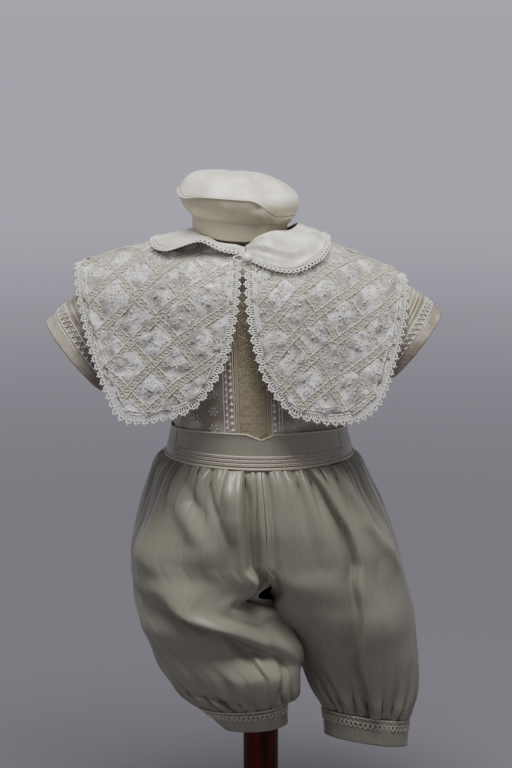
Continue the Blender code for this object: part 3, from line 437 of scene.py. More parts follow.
@dataclass(frozen=True)
class StainedWoodFinish(Finish):
    """Turned beech, stained dark red and varnished: long straight grain under a clear coat."""

    grain: str = "#120403"
    grain_mm: float = 3.0
    grain_long_mm: float = 60.0

    def dress(self, tree: bpy.types.NodeTree, shader: bpy.types.Node) -> None:
        """Grain that runs up the post."""
        where = self.solid(tree, self.grain_mm, self.grain_long_mm)
        lines = add_node(tree, "TexNoise", {"Vector": where, "Scale": 1.0, "Detail": 4.0, "Distortion": 0.3})
        spread = add_node(tree, "MapRange", {"Value": lines.outputs[0], "From Min": 0.35, "From Max": 0.7})
        self.tint(shader, spread.outputs[0], self.colour, self.grain)
        self.relief(shader, lines.outputs[0], 0.15, 0.3)


@dataclass(frozen=True)
class ShellFinish(Finish):
    """Pearly plastic or shell: glossy, with a faint pink and green cast."""

    cast: str = "#d9e0d4"

    def dress(self, tree: bpy.types.NodeTree, shader: bpy.types.Node) -> None:
        """Soft bands of cast."""
        bands = add_node(tree, "TexNoise", {"Vector": self.solid(tree, 3.0), "Scale": 1.0, "Detail": 1.0})
        self.tint(shader, bands.outputs[0], self.colour, self.cast)


@dataclass(frozen=True)
class FloorFinish(Finish):
    """Painted studio floor: matt pale grey, with painted shade that darkens it round the stand in the middle.
    """

    # Painted shade: the floor's tone at the middle, round the stand, and the distance over which it lifts to
    # the floor's own colour.
    middle: str = "#7c7a81"
    shade_fade_m: float = 7.0

    def dress(self, tree: bpy.types.NodeTree, shader: bpy.types.Node) -> None:
        """Painted shade round the stand, which lifts away from the middle, and a faint mottle."""
        where = add_node(tree, "TexCoord").outputs["Object"]
        away = add_node(tree, "VectorMath", {0: where}, operation="LENGTH").outputs["Value"]
        values = {"Value": away, "From Min": 0.0, "From Max": self.shade_fade_m}
        lift = add_node(tree, "MapRange", values, interpolation_type="SMOOTHERSTEP")
        self.tint(shader, lift.outputs[0], self.middle, self.colour)
        mottle = add_node(tree, "TexNoise", {"Vector": self.solid(tree, 400.0), "Scale": 1.0, "Detail": 2.0})
        self.relief(shader, mottle.outputs[0], 0.05, 1.0)


# The collar's and the beret's upright tones are painted shade; each satin's shade is the dark tone of its
# painted shimmer.
WHITE_SATIN = SatinFinish(
    "white_duchesse_satin", "#f6f4ef", 0.32, sheen=0.15, shade="#d2cdc2", crush_mm=2.2, upright_shade="#b9b6b1"
)
BERET_SATIN = SatinFinish(
    "beret_satin", "#f7f3ea", 0.4, sheen=0.15, shade="#e0dacb", crush=0.15, crush_mm=2.0, upright_shade="#d3cbae"
)
CAPE_SATIN = SatinFinish(
    "puckered_cape_satin", "#e6e4e3", 0.2, sheen=0.1, shade="#a19d97", crush=0.7, crush_mm=2.6, shimmer_mm=15.0
)
SHIRT_SATIN = SatinFinish("tonal_shirt_satin", "#bcb4a3", 0.36, shade="#948b7b", crush=0.5, crush_mm=1.6)
DUPIONI = DupioniFinish("ivory_dupioni_silk", "#868375", 0.33, slub="#747162", lit="#989585", sheen=0.05)
BAND_DUPIONI = DupioniFinish("waistband_dupioni", "#8f8b7b", 0.32, slub="#7f7b6d", lit="#9a9686", sheen=0.05)
GUIPURE = ThreadFinish("white_guipure_cotton", "#fdfcf8", 0.8, sheen=0.3, shade="#e3dfd4")
EMBROIDERY = ThreadFinish("white_embroidery_thread", "#e2dfd9", 0.32, sheen=0.2, shade="#bdb9b0")
CREAM_BRAID = ThreadFinish("cream_band_cord", "#e2ddd0", 0.55, sheen=0.2, shade="#bab19c")
CUFF_LACE = ThreadFinish("ivory_cuff_lace", "#e4ddca", 0.8, sheen=0.2, shade="#bdb5a3")
TAN_CORD = ThreadFinish("beige_insert_cord", "#d6ccae", 0.6, shade="#a59b82")
BEIGE_KNIT = ThreadFinish("beige_insert_knit", "#b3a98d", 0.85, shade="#847b64")
PINK_SOUTACHE = ThreadFinish("rose_beige_soutache", "#eae1d3", 0.6, sheen=0.2, shade="#d3c8b9")
CREAM_CORD = ThreadFinish("cream_piping", "#d9d3bc", 0.5, shade="#bdb69f")
SOUTACHE = SoutacheFinish("cape_soutache_band", "#cdc8bc", 0.42, shade="#a8a192")
SEQUIN = ShellFinish("clear_sequin", "#e6eaec", 0.12, metallic=0.25, coat=0.6)
PEARL = ShellFinish("pearl_shell", "#f1ede4", 0.16, coat=0.8)
JERSEY = JerseyFinish("form_jersey", "#a29a88", 0.9)
STAINED_WOOD = StainedWoodFinish("dark_red_stained_beech", "#661402", 0.45, specular=0.22, coat=0.02)
FLOOR = FloorFinish("studio_floor", "#c4c0ce", 0.9, specular=0.1)


# ------------------------------------------------------------------ making pieces
def flat_grid(columns: int, rows: int) -> bmesh.types.BMesh:
    """A flat grid whose x and y count its columns and rows."""
    bm = bmesh.new()
    bmesh.ops.create_grid(bm, x_segments=columns, y_segments=rows, size=0.5)
    for vert in bm.verts:
        vert.co.x = round((vert.co.x + 0.5) * columns)
        vert.co.y = round((vert.co.y + 0.5) * rows)
    return bm


def lay(bm: bmesh.types.BMesh, surface: Surface, pattern: Surface, heart: Heart) -> Cut:
    """Lay a flat sheet on a surface, with its pattern coordinates, facing away from its heart.

    Args:
        bm: The flat sheet.
        surface: Gives the place of a flat point, in millimetres.
        pattern: Gives the place of a flat point in the cloth, in millimetres.
        heart: Gives a point inside the form, level with a place.

    Returns:
        Width, length and area of the flat cloth, in millimetres.
    """
    uv = bm.loops.layers.uv.new("cloth")
    for face in bm.faces:
        for loop in face.loops:
            spot = pattern(loop.vert.co.x, loop.vert.co.y)
            loop[uv].uv = (spot.x / PATTERN_UNIT, spot.y / PATTERN_UNIT)
    for vert in bm.verts:
        vert.co = surface(vert.co.x, vert.co.y)
    bmesh.ops.remove_doubles(bm, verts=bm.verts[:], dist=0.002)
    bm.normal_update()
    facing = 0.0
    for face in bm.faces:
        centre = face.calc_center_median()
        facing += face.normal.dot(centre - heart(centre)) * face.calc_area()
    if facing < 0.0:
        bmesh.ops.reverse_faces(bm, faces=bm.faces[:])
    uv = bm.loops.layers.uv["cloth"]
    spots = [loop[uv].uv for face in bm.faces for loop in face.loops]
    width, length = (max(s[way] for s in spots) - min(s[way] for s in spots) for way in (0, 1))
    return width * PATTERN_UNIT, length * PATTERN_UNIT, sum(face.calc_area() for face in bm.faces)


def make_piece(
    name: str,
    bm: bmesh.types.BMesh,
    finish: Finish,
    slot: Slot,
    wall: float = 0.0,
    outward: float = -1.0,
    stands_for: Sequence[str] = (),
) -> bpy.types.Object:
    """Finish a mesh that is in millimetres as a piece that rides on the body.

    Args:
        name: The piece's name.
        bm: Its mesh, which is used up.
        finish: Its finish.
        slot: The slot of that finish; not used.
        wall: Thickness that an open sheet is given.
        outward: 1 where the wall grows outwards, -1 inwards.
        stands_for: CAD nodes that it replaces.

    Returns:
        The piece.
    """
    bmesh.ops.scale(bm, vec=(MM, MM, MM), verts=bm.verts[:])
    mesh = bpy.data.meshes.new(name)
    bm.to_mesh(mesh)
    bm.free()
    mesh.shade_smooth()
    mesh.materials.append(finish.material())
    piece = bpy.data.objects.new(name, mesh)
    bpy.context.scene.collection.objects.link(piece)
    if wall:
        shell = piece.modifiers.new("wall", "SOLIDIFY")
        shell.thickness = wall * MM
        shell.offset = outward
        shell.use_even_offset = True
        shell.thickness_clamp = 1.0
    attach(piece, "root")
    if stands_for:
        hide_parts(*stands_for)
    log.info("%s: %d faces, stands for %s", name, len(mesh.polygons), ", ".join(stands_for) or "no node")
    return piece


def declare_cloth(
    piece: bpy.types.Object,
    cut: Cut,
    trims: Sequence[bpy.types.Object] = (),
) -> None:
    """Work out a sheet's cut and its area in square metres, which is not kept.

    Args:
        piece: The sheet; not used.
        cut: Width, length and area, in millimetres.
        trims: Pieces sewn to it; not used.
    """
    width, length, area = cut
    length = max(length, area / width)
    width = min(width, area / length / LEAST_COVER)
    min(area, width * length) * MM * MM


class Cords:
    """Cords and threads laid along paths and joined as one mesh."""

    def __init__(self, resolution: int = 1) -> None:
        """Start with none; resolution 0 gives four sides, and 1 six."""
        self.curve = bpy.data.curves.new("cords", "CURVE")
        self.curve.dimensions = "3D"
        self.curve.bevel_depth = 1.0
        self.curve.bevel_resolution = resolution
        self.curve.use_fill_caps = True

    def run(self, path: Iterable[Vector], radius: float, closed: bool = False) -> None:
        """Lay one cord.

        Args:
            path: Its points, in millimetres.
            radius: Its radius.
            closed: Whether it joins its own start.
        """
        points = list(path)
        if len(points) < 2:
            return
        spline = self.curve.splines.new("POLY")
        spline.points.add(len(points) - 1)
        for point, place in zip(spline.points, points):
            point.co = (*place, 1.0)
            point.radius = radius
        spline.use_cyclic_u = closed

    def mesh(self) -> bmesh.types.BMesh:
        """All the cords as one mesh in millimetres."""
        holder = bpy.data.objects.new("cords", self.curve)
        made = bpy.data.meshes.new_from_object(holder)
        bm = bmesh.new()
        bm.from_mesh(made)
        bpy.data.objects.remove(holder, do_unlink=True)
        bpy.data.meshes.remove(made)
        bpy.data.curves.remove(self.curve)
        bmesh.ops.remove_doubles(bm, verts=bm.verts[:], dist=0.001)
        bmesh.ops.recalc_face_normals(bm, faces=bm.faces[:])
        return bm


def frame_at(spot: Vector, along: Vector, normal: Vector) -> Matrix:
    """Axes at a place: x along, z out along the normal."""
    across = normal.cross(along).normalized()
    along = across.cross(normal).normalized()
    return Matrix.Translation(spot) @ Matrix((along, across, normal)).transposed().to_4x4()


def join(whole: bmesh.types.BMesh, part: bmesh.types.BMesh) -> None:
    """Move a mesh into another, and free it."""
    loose = bpy.data.meshes.new("loose")
    part.to_mesh(loose)
    part.free()
    whole.from_mesh(loose)
    bpy.data.meshes.remove(loose)


class Stitches:
    """Knots, beads, petals and sequins, joined as one mesh."""

    MOST_VERTS = 1200

    def __init__(self) -> None:
        """Start with none."""
        self.whole = bmesh.new()
        self.part = bmesh.new()

    def room(self) -> None:
        """Keep the working mesh small, because an operator walks over all of it."""
        if len(self.part.verts) > self.MOST_VERTS:
            join(self.whole, self.part)
            self.part = bmesh.new()

    def bead(self, axes: Matrix, size: Row, segments: int = 8) -> None:
        """Add a rounded stitch or bead of half sizes along its axes."""
        self.room()
        matrix = axes @ Matrix.Diagonal((*size, 1.0))
        bmesh.ops.create_uvsphere(self.part, u_segments=segments, v_segments=4, radius=1.0, matrix=matrix)

    def knot(self, spot: Vector, heart: Vector, size: Row, along: Vector = EAST, segments: int = 6) -> None:
        """Add a bead that faces away from a heart.

        Args:
            spot: Its place.
            heart: A point inside the form.
            size: Its half sizes.
            along: Direction of its first size.
            segments: Its sides.
        """
        self.bead(frame_at(spot, along, (spot - heart).normalized()), size, segments)

    def disc(self, axes: Matrix, radius: float, depth: float) -> None:
        """Add a thin disc lying on the axes' x and y."""
        self.room()
        bmesh.ops.create_cone(
            self.part, cap_ends=True, segments=8, radius1=radius, radius2=radius * 0.85, depth=depth,
            matrix=axes,
        )

    def mesh(self, *others: bmesh.types.BMesh) -> bmesh.types.BMesh:
        """All of them as one mesh, with other meshes joined to it."""
        for part in (self.part, *others):
            join(self.whole, part)
        return self.whole


class Steps:
    """Even steps along a path, about a pitch apart."""

    def __init__(self, path: Sequence[Vector], pitch: float) -> None:
        """Measure the path."""
        self.lengths = [0.0]
        for one, two in pairwise(path):
            self.lengths.append(self.lengths[-1] + (two - one).length)
        self.count = max(1, round(self.lengths[-1] / pitch))

    def at(self, step: float) -> tuple[int, int, float]:
        """Numbers of the points before and after a step, and the share of the way between them."""
        lengths = self.lengths
        reach = min(lengths[-1], max(0.0, step * lengths[-1] / self.count))
        index = next((i for i, length in enumerate(lengths) if length >= reach), len(lengths) - 1)
        low = max(0, index - 1)
        return low, index, (reach - lengths[low]) / max(1e-6, lengths[index] - lengths[low])


# ------------------------------------------------------------------ the form and its shirt
FORM = Profile((
    (330, 0, 74, 60, 62), (350, 0, 82, 68, 72), (390, -1, 85, 76, 78),
    (425, -2, 85.2, 78.8, 78.2), (440, -2, 83.9, 78.1, 77.3), (480, -4, 80, 75, 71),
    (520, -7, 79, 69, 66), (555, -9, 84, 61, 60), (580, -11, 91, 51, 53),
    (598, -12, 90, 42, 46), (610, -13, 78, 36, 42), (620, -14, 62, 33.5, 38),
    (625.4, -14.5, 46.8, 32.5, 33.8), (633, -15.5, 36, 32.2, 33), (657, -18, 32, 31.5, 31.5),
))
SHIRT_EASE = Profile((
    (418, 0.4), (440, 0.4), (470, 2), (520, 4), (560, 5), (590, 3), (606, 1),
    (615, 0.5), (627, 0.5), (633, 1.5),
))


@dataclass
class ShirtShape:
    """The body of the shirt, over the form."""

    wall: float = 1.2
    armhole_z: float = 547.0
    armhole_tall: float = 36.0
    armhole_turn: float = 30.0

    def point(self, turn: float, z: float) -> Vector:
        """Inner side of the shirt; turn runs from the front to the viewer's right."""
        _, cx, a, front, back = FORM.at(z)
        ease = SHIRT_EASE.at(z)[1]
        angle = math.radians(turn)
        blend = smooth(0.5 + math.cos(angle) * 2.0)
        b = lerp(back, front, blend)
        return Vector((cx + (a + ease) * math.sin(angle), -(b + ease) * math.cos(angle), z))

    def place(self, turn: float, z: float, lift: float) -> Vector:
        """Point moved out along the shirt's normal."""
        return self.point(turn, z) + directions(self.point, turn, z, 1.0, 1.5)[2] * lift

    def turn_at(self, x: float, z: float) -> float:
        """Turn at which the front of the shirt has a given x."""
        _, cx, a, _, _ = FORM.at(z)
        reach = a + SHIRT_EASE.at(z)[1]
        return math.degrees(math.asin(max(-1.0, min(1.0, (x - cx) / reach))))


@dataclass
class Shirt:
    """Front, back, braid insert, bobbles, lace flowers and sleeves of the shirt."""

    shape: ShirtShape = field(default_factory=ShirtShape)
    hem_z: float = 420.0
    neck_z: float = 631.0
    insert_z: Flat = (441.0, 574.0)  # foot and top of the braid insert
    insert_half: float = 16.0
    diamond: float = 15.5
    bobble_pitch: float = 6.3
    sleeve_rows: dict[Side, Sequence[Row]] = field(
        default_factory=lambda: {
            Side.LEFT: (
                (-122, -3, 546, 42, 33, 12), (-150, -4, 535, 46, 34, 25),
                (-168, -5, 523, 45, 34, 33), (-185.5, -6, 510, 42.5, 33, 38.5),
            ),
            Side.RIGHT: (
                (101, -3, 546, 42, 33, -12), (124, -4, 539, 44, 34, -24),
                (139, -5, 531, 42, 34, -32), (154, -6, 521, 40, 33, -37),
            ),
        }
    )

    def build(self) -> None:
        """Make every piece of the shirt."""
        self.panel("shirt_front_cloth", "shirt_front", -90.0)
        self.panel("shirt_back_cloth", "shirt_back", 90.0)
        self.insert()
        self.bobbles()
        self.medallions()
        for side in Side:
            Sleeve(self.shape, side, self.sleeve_rows[side]).build()

    def heart(self, spot: Vector) -> Vector:
        """Middle of the body, level with a place."""
        return Vector((FORM.at(spot.z)[1], 0.0, spot.z))

    def panel(self, name: str, node: str, start: float) -> None:
        """One body panel from side seam to side seam, with half an armhole at each edge.

        Args:
            name: The piece's name.
            node: The node it replaces.
            start: Turn of its first side seam.
        """
        shape = self.shape
        columns, rows = 72, 84
        bm = flat_grid(columns, rows)
        for vert in bm.verts:
            vert.co.x = start + 180.0 * vert.co.x / columns
            vert.co.y = lerp(self.hem_z, self.neck_z, vert.co.y / rows)

        def from_armhole(spot: Vector) -> tuple[float, float, float, float]:
            """Distance from the armhole's middle, its two parts, and the turn to its side seam."""
            turn = (spot.x + 180.0) % 360.0 - 180.0
            side = math.copysign(90.0, turn)
            across = (turn - side) / shape.armhole_turn
            up = (spot.y - shape.armhole_z) / shape.armhole_tall
            return math.hypot(across, up), across, up, side - turn

        inside = [f for f in bm.faces if from_armhole(f.calc_center_median())[0] < 1.0]
        rim = {vert for face in inside for vert in face.verts}
        bmesh.ops.delete(bm, geom=inside, context="FACES")
        for vert in bm.verts:
            if vert in rim:
                size, across, up, shift = from_armhole(vert.co)
                vert.co.x += shift + across / size * shape.armhole_turn
                vert.co.y = shape.armhole_z + up / size * shape.armhole_tall

        def surface(turn: float, z: float) -> Vector:
            """Inner side of the panel, with a little drape."""
            drape = 0.9 * wander(turn * 0.06, z * 0.012) + 0.5 * wander(turn * 0.17 + 4.0, z * 0.03)
            fade = smooth((z - self.hem_z) / 18.0) * smooth((self.neck_z - z) / 12.0)
            return shape.place(turn, z, max(0.0, 0.35 + drape * fade))

        cut = lay(bm, surface, lambda turn, z: Vector((turn * 1.5, z, 0.0)), self.heart)
        piece = make_piece(name, bm, SHIRT_SATIN, Slot.SHIRT_SATIN, shape.wall - 0.3, 1.0, [node])
        declare_cloth(piece, cut)

    def middle(self, z: float) -> float:
        """x of the insert's middle line, which leans with the form."""
        return lerp(-6.0, -12.0, (z - 424.0) / 152.0)

    def on_front(self, off: float, z: float, lift: float) -> Vector:
        """Place on the front at a distance from the insert's middle line."""
        turn = self.shape.turn_at(self.middle(z) + off, z)
        return self.shape.place(turn, z, self.shape.wall + lift)

    def insert(self) -> None:
        """Knitted strip with diamonds of double cord between two edging cords."""
        (low, high), half = self.insert_z, self.insert_half
        columns, rows = 20, 90
        bm = flat_grid(columns, rows)

        def surface(column: float, row: float) -> Vector:
            """Place of a grid point on the shirt's front."""
            off = lerp(-half, half, column / columns)
            return self.on_front(off, lerp(low, high, row / rows), 1.3)

        cut = lay(bm, surface, lambda c, r: Vector((c * 1.5, r * 1.5, 0.0)), self.heart)
        strip = make_piece("braid_insert", bm, BEIGE_KNIT, Slot.BEIGE_BRAID, 0.9, -1.0, ["front_insert"])
        cords = Cords(1)
        for off in (-half + 0.6, -half + 2.4, half - 2.4, half - 0.6):
            cords.run([self.on_front(off, z, 1.6) for z in range(442, 574, 3)], 0.75)
        reach, tip = half - 3.4, self.diamond / 2.0
        steps = [t / 6.0 for t in range(-6, 7)]
        centre = low + tip
        while centre < high - tip:
            for share, side in product((0.97, 0.72, 0.47, 0.22), (-1.0, 1.0)):
                for start, grow, middle in ((0.0, side, centre), (side * reach, -side, centre + tip)):
                    wide, tall = grow * reach * share, tip * share
                    spots = [(start + wide * (1.0 - abs(t)), middle + tall * t) for t in steps]
                    cords.run([self.on_front(off, z, 1.6) for off, z in spots], 0.55)
            centre += self.diamond
        trim = make_piece("insert_diamond_cords", cords.mesh(), TAN_CORD, Slot.BEIGE_BRAID)
        declare_cloth(strip, cut, [trim])

    def bobbles(self) -> None:
        """Columns of white bobbles on fine threads, either side of the insert."""
        stitches, cords = Stitches(), Cords(0)
        for sign in (-1.0, 1.0):
            for column, (off, size) in enumerate(((20.2, 1.75), (24.6, 1.2))):
                z = 443.0 + 2.0 * column
                path = []
                while z < 585.0:
                    lean = 0.5 * wander(z, off, sign)
                    spot = self.on_front(sign * off + lean, z, 1.0)
                    stitches.knot(spot, self.heart(spot), (size, size * 1.05, size * 0.8), UP, 8)
                    path.append(self.on_front(sign * off, z, 0.5))
                    z += self.bobble_pitch * (1.0 + 0.08 * wander(z * 0.4, off))
                cords.run(path, 0.45)
        for off in (17.6, 27.4):
            for sign in (-1.0, 1.0):
                cords.run([self.on_front(sign * off, z, 0.5) for z in range(442, 586, 4)], 0.5)
        bm = stitches.mesh(cords.mesh())
        make_piece("shirt_bobbles", bm, GUIPURE, Slot.WHITE_LACE)

    def medallions(self) -> None:
        """Small white lace flowers on the satin either side of the bobbles."""
        stitches = Stitches()
        places = product((-1.0, 1.0), range(2), range(6))
        for off, z in [(sign * (38.0 + 17.0 * i), 449.0 + 17.0 * j + 8.5 * (i % 2)) for sign, i, j in places]:
            hub = self.on_front(off, z, 0.45)
            normal = (hub - self.heart(hub)).normalized()
            for petal in range(6):
                a = petal * math.pi / 3.0
                spot = self.on_front(off + 3.1 * math.cos(a), z + 3.1 * math.sin(a), 0.45)
                stitches.bead(frame_at(spot, (spot - hub).normalized(), normal), (2.3, 1.2, 0.5))
            stitches.bead(frame_at(hub, UP, normal), (1.1, 1.1, 0.8))
        make_piece("shirt_lace_flowers", stitches.mesh(), EMBROIDERY, Slot.WHITE_LACE)


@dataclass
class Sleeve:
    """Short sleeve with seven pintucks, a lace row and a plain hem band."""

    shape: ShirtShape
    side: Side
    rows: Sequence[Row]
    columns: int = 72
    overhang: float = 1.5  # how far the head of the sleeve reaches past the armhole
    tucks: Flat = (1.6, 2.95)  # levels between which the tucks lie
    tuck_pitch: float = 0.193
    tuck_rise: float = 1.5
    hem: float = 3.46  # level at which the hem band starts
    zigzags: int = 88

    def __post_init__(self) -> None:
        """Work out the sleeve's sections."""
        self.sections = by_level(self.rows)

    def ring(self, turn: float, level: float) -> Vector:
        """Inner side of the sleeve at a level of its table."""
        _, cx, cy, cz, tall, deep, lean = self.sections.at(level)
        lean = math.radians(lean)
        up = Vector((-math.sin(lean), 0.0, math.cos(lean)))
        return Vector((cx, cy - deep * math.sin(turn), cz)) + up * (tall * math.cos(turn))

    def point(self, u: float, v: float) -> Vector:
        """Inner side of the sleeve: v is 0 at the armhole, and 1 to 4 over the table's levels."""
        turn, shape = 2.0 * math.pi * u / self.columns, self.shape
        if v >= 1.0:
            return self.ring(turn, v - 1.0)
        start = shape.place(
            self.side.value * (90.0 - (shape.armhole_turn + self.overhang) * math.sin(turn)),
            shape.armhole_z + (shape.armhole_tall + self.overhang) * math.cos(turn),
            shape.wall + 0.7,
        )
        return start.lerp(self.ring(turn, 0.0), max(0.0, v))

    def place(self, u: float, v: float, lift: float) -> Vector:
        """Point moved out from the sleeve."""
        u = u % self.columns
        level = max(0.05, min(3.95, v))
        normal = directions(self.point, u, level, 1.0, 0.04)[2]
        axis = Vector(self.sections.at(level - 1.0)[1:4])
        if normal.dot(self.point(u, level) - axis) < 0.0:
            normal = -normal
        return self.point(u, v) + normal * (self.shape.wall + lift)

    def rise(self, u: float, v: float) -> float:
        """Rise of the cloth from its soft puff, the pintucks and the hem band."""
        puff = 0.7 * wander(u * 0.35, v * 2.0, self.side.value) * smooth(v) * (1.0 if v < 1.6 else 0.35)
        if self.tucks[0] <= v < self.tucks[1]:
            share = ((v - self.tucks[0]) / self.tuck_pitch) % 1.0
            steep, fall = 0.12, 0.62  # shares of a tuck's pitch
            slope = smooth(share / steep) if share < steep else max(0.0, 1.0 - (share - steep) / fall)
            return puff + self.tuck_rise * slope
        if v > self.hem:
            return puff + 0.7 * smooth((v - self.hem) / 0.06) * smooth((4.04 - v) / 0.08)
        return puff

    def levels(self) -> list[float]:
        """Levels of the rows of the mesh, closest over the tucks."""
        found = [0.13 * i for i in range(12)] + [1.6 + 0.0193 * i for i in range(70)]
        found += [2.98 + 0.06 * i for i in range(8)] + [3.46, 3.49, 3.52]
        return found + [3.56 + 0.055 * i for i in range(8)] + [4.0]

    def heart(self, spot: Vector) -> Vector:
        """Middle of the sleeve, beside a place."""
        start, end = self.sections.at(0.0)[1], self.sections.at(3.0)[1]
        return Vector(self.sections.at(3.0 * (spot.x - start) / (end - start))[1:4])

    def build(self) -> None:
        """Make the sleeve and its lace row."""
        name, columns, levels = f"sleeve_{self.side.name.lower()}", self.columns, self.levels()
        bm = flat_grid(columns, len(levels) - 1)

        def surface(u: float, row: float) -> Vector:
            """Place of a grid point, with the rise of the cloth."""
            v = levels[round(row)]
            return self.place(u, v, self.rise(u % columns, v))

        def pattern(u: float, row: float) -> Vector:
            """Place of a grid point in the flat cloth."""
            return Vector((u * 240.0 / columns, levels[round(row)] * 22.0, 0.0))

        cut = lay(bm, surface, pattern, self.heart)
        piece = make_piece(
            f"{name}_cloth", bm, SHIRT_SATIN, Slot.SHIRT_SATIN, self.shape.wall, -1.0, [name]
        )
        cords, stitches = Cords(0), Stitches()
        for v in (3.02, 3.4):
            cords.run([self.place(u, v, 0.5) for u in range(columns)], 0.6, True)
        turns = [i * columns / self.zigzags for i in range(self.zigzags)]
        cords.run([self.place(u, 3.07 if i % 2 else 3.35, 0.6) for i, u in enumerate(turns)], 0.55, True)
        for i, u in enumerate(turns):
            spot = self.place(u, 3.1 if i % 2 else 3.32, 0.9)
            stitches.knot(spot, self.heart(spot), (1.1, 1.1, 0.9))
        lace = make_piece(f"{name}_lace_row", stitches.mesh(cords.mesh()), GUIPURE, Slot.WHITE_LACE)
        declare_cloth(piece, cut, [lace])


# ------------------------------------------------------------------ cape and collar
@dataclass
class CapeShape:
    """The cape's surface: x to the side, s down from the shoulder ridge, negative at the back."""

    middle: float = -15.0
    neck_hole: float = 47.0
    wall: float = 1.4
    ridge: Sequence[Row] = (
        (-196, 596.5), (-184, 600), (-107, 621), (-60, 628.5), (-15, 634), (30, 630),
        (66, 620.5), (143, 588.5), (156, 583),
    )
    fall: Sequence[Row] = (
        (0, 76, 62, 0.16), (60, 70, 60, 0.18), (110, 46, 46, 0.26), (170, 24, 32, 0.34),
    )

    def __post_init__(self) -> None:
        """Work out the shoulder curve along x: ridge height, depth, drop, lean and length."""
        ridge, fall = Profile(self.ridge), Profile(self.fall)
        rows = []
        for x in range(-200, 161, 2):
            _, depth, drop, lean = fall.at(abs(x - self.middle))
            length = 0.5 * math.pi * math.sqrt(0.5 * (depth * depth + drop * drop))
            height = sum(ridge.at(x + off)[1] for off in (-6.0, 0.0, 6.0)) / 3.0
            rows.append((float(x), height, depth, drop, lean, length))
        self.curve = Profile(rows, 1.0)

    def point(self, x: float, s: float) -> Vector:
        """Inner side of the cape."""
        _, ridge, depth, drop, lean, length = self.curve.at(x)
        along = abs(s)
        if along < length:
            turn = 0.5 * math.pi * along / length
            out, down = depth * math.sin(turn), drop * (1.0 - math.cos(turn))
        else:
            out, down = depth, drop + along - length
        out += lean * down
        return Vector((x, -math.copysign(out, s), ridge - down))

    def normal(self, x: float, s: float) -> Vector:
        """Direction away from the wearer."""
        return -directions(self.point, x, s, 2.0, 2.0)[2]

    def place(self, x: float, s: float, lift: float) -> Vector:
        """Point moved away from the wearer."""
        return self.point(x, s) + self.normal(x, s) * lift

    def heart(self, spot: Vector) -> Vector:
        """Middle of the body, below a place."""
        return Vector((self.middle + (spot.x - self.middle) * 0.6, 0.0, min(spot.z, 560.0)))


@dataclass(frozen=True)
class Braid:
    """One direction of a trellis: turn in degrees, spacing and place of one band."""

    turn: float
    pitch: float
    start: float

    def place(self, x: float, s: float) -> float:
        """Distance across the bands, counted in bands."""
        turn = math.radians(self.turn)
        return (x * math.sin(turn) - s * math.cos(turn) - self.start) / self.pitch


@dataclass(frozen=True)
class Trellis:
    """Two crossing directions of braid."""

    one: Braid
    two: Braid

    def cell(self, x: float, s: float) -> Flat:
        """Place of a flat point, counted in cells."""
        return self.one.place(x, s), self.two.place(x, s)

    def flat(self, p: float, q: float) -> Flat:
        """Flat place of a point counted in cells."""
        one, two = math.radians(self.one.turn), math.radians(self.two.turn)
        size = math.sin(two - one)
        p = (p * self.one.pitch + self.one.start) / size
        q = (q * self.two.pitch + self.two.start) / size
        return q * math.cos(one) - p * math.cos(two), q * math.sin(one) - p * math.sin(two)


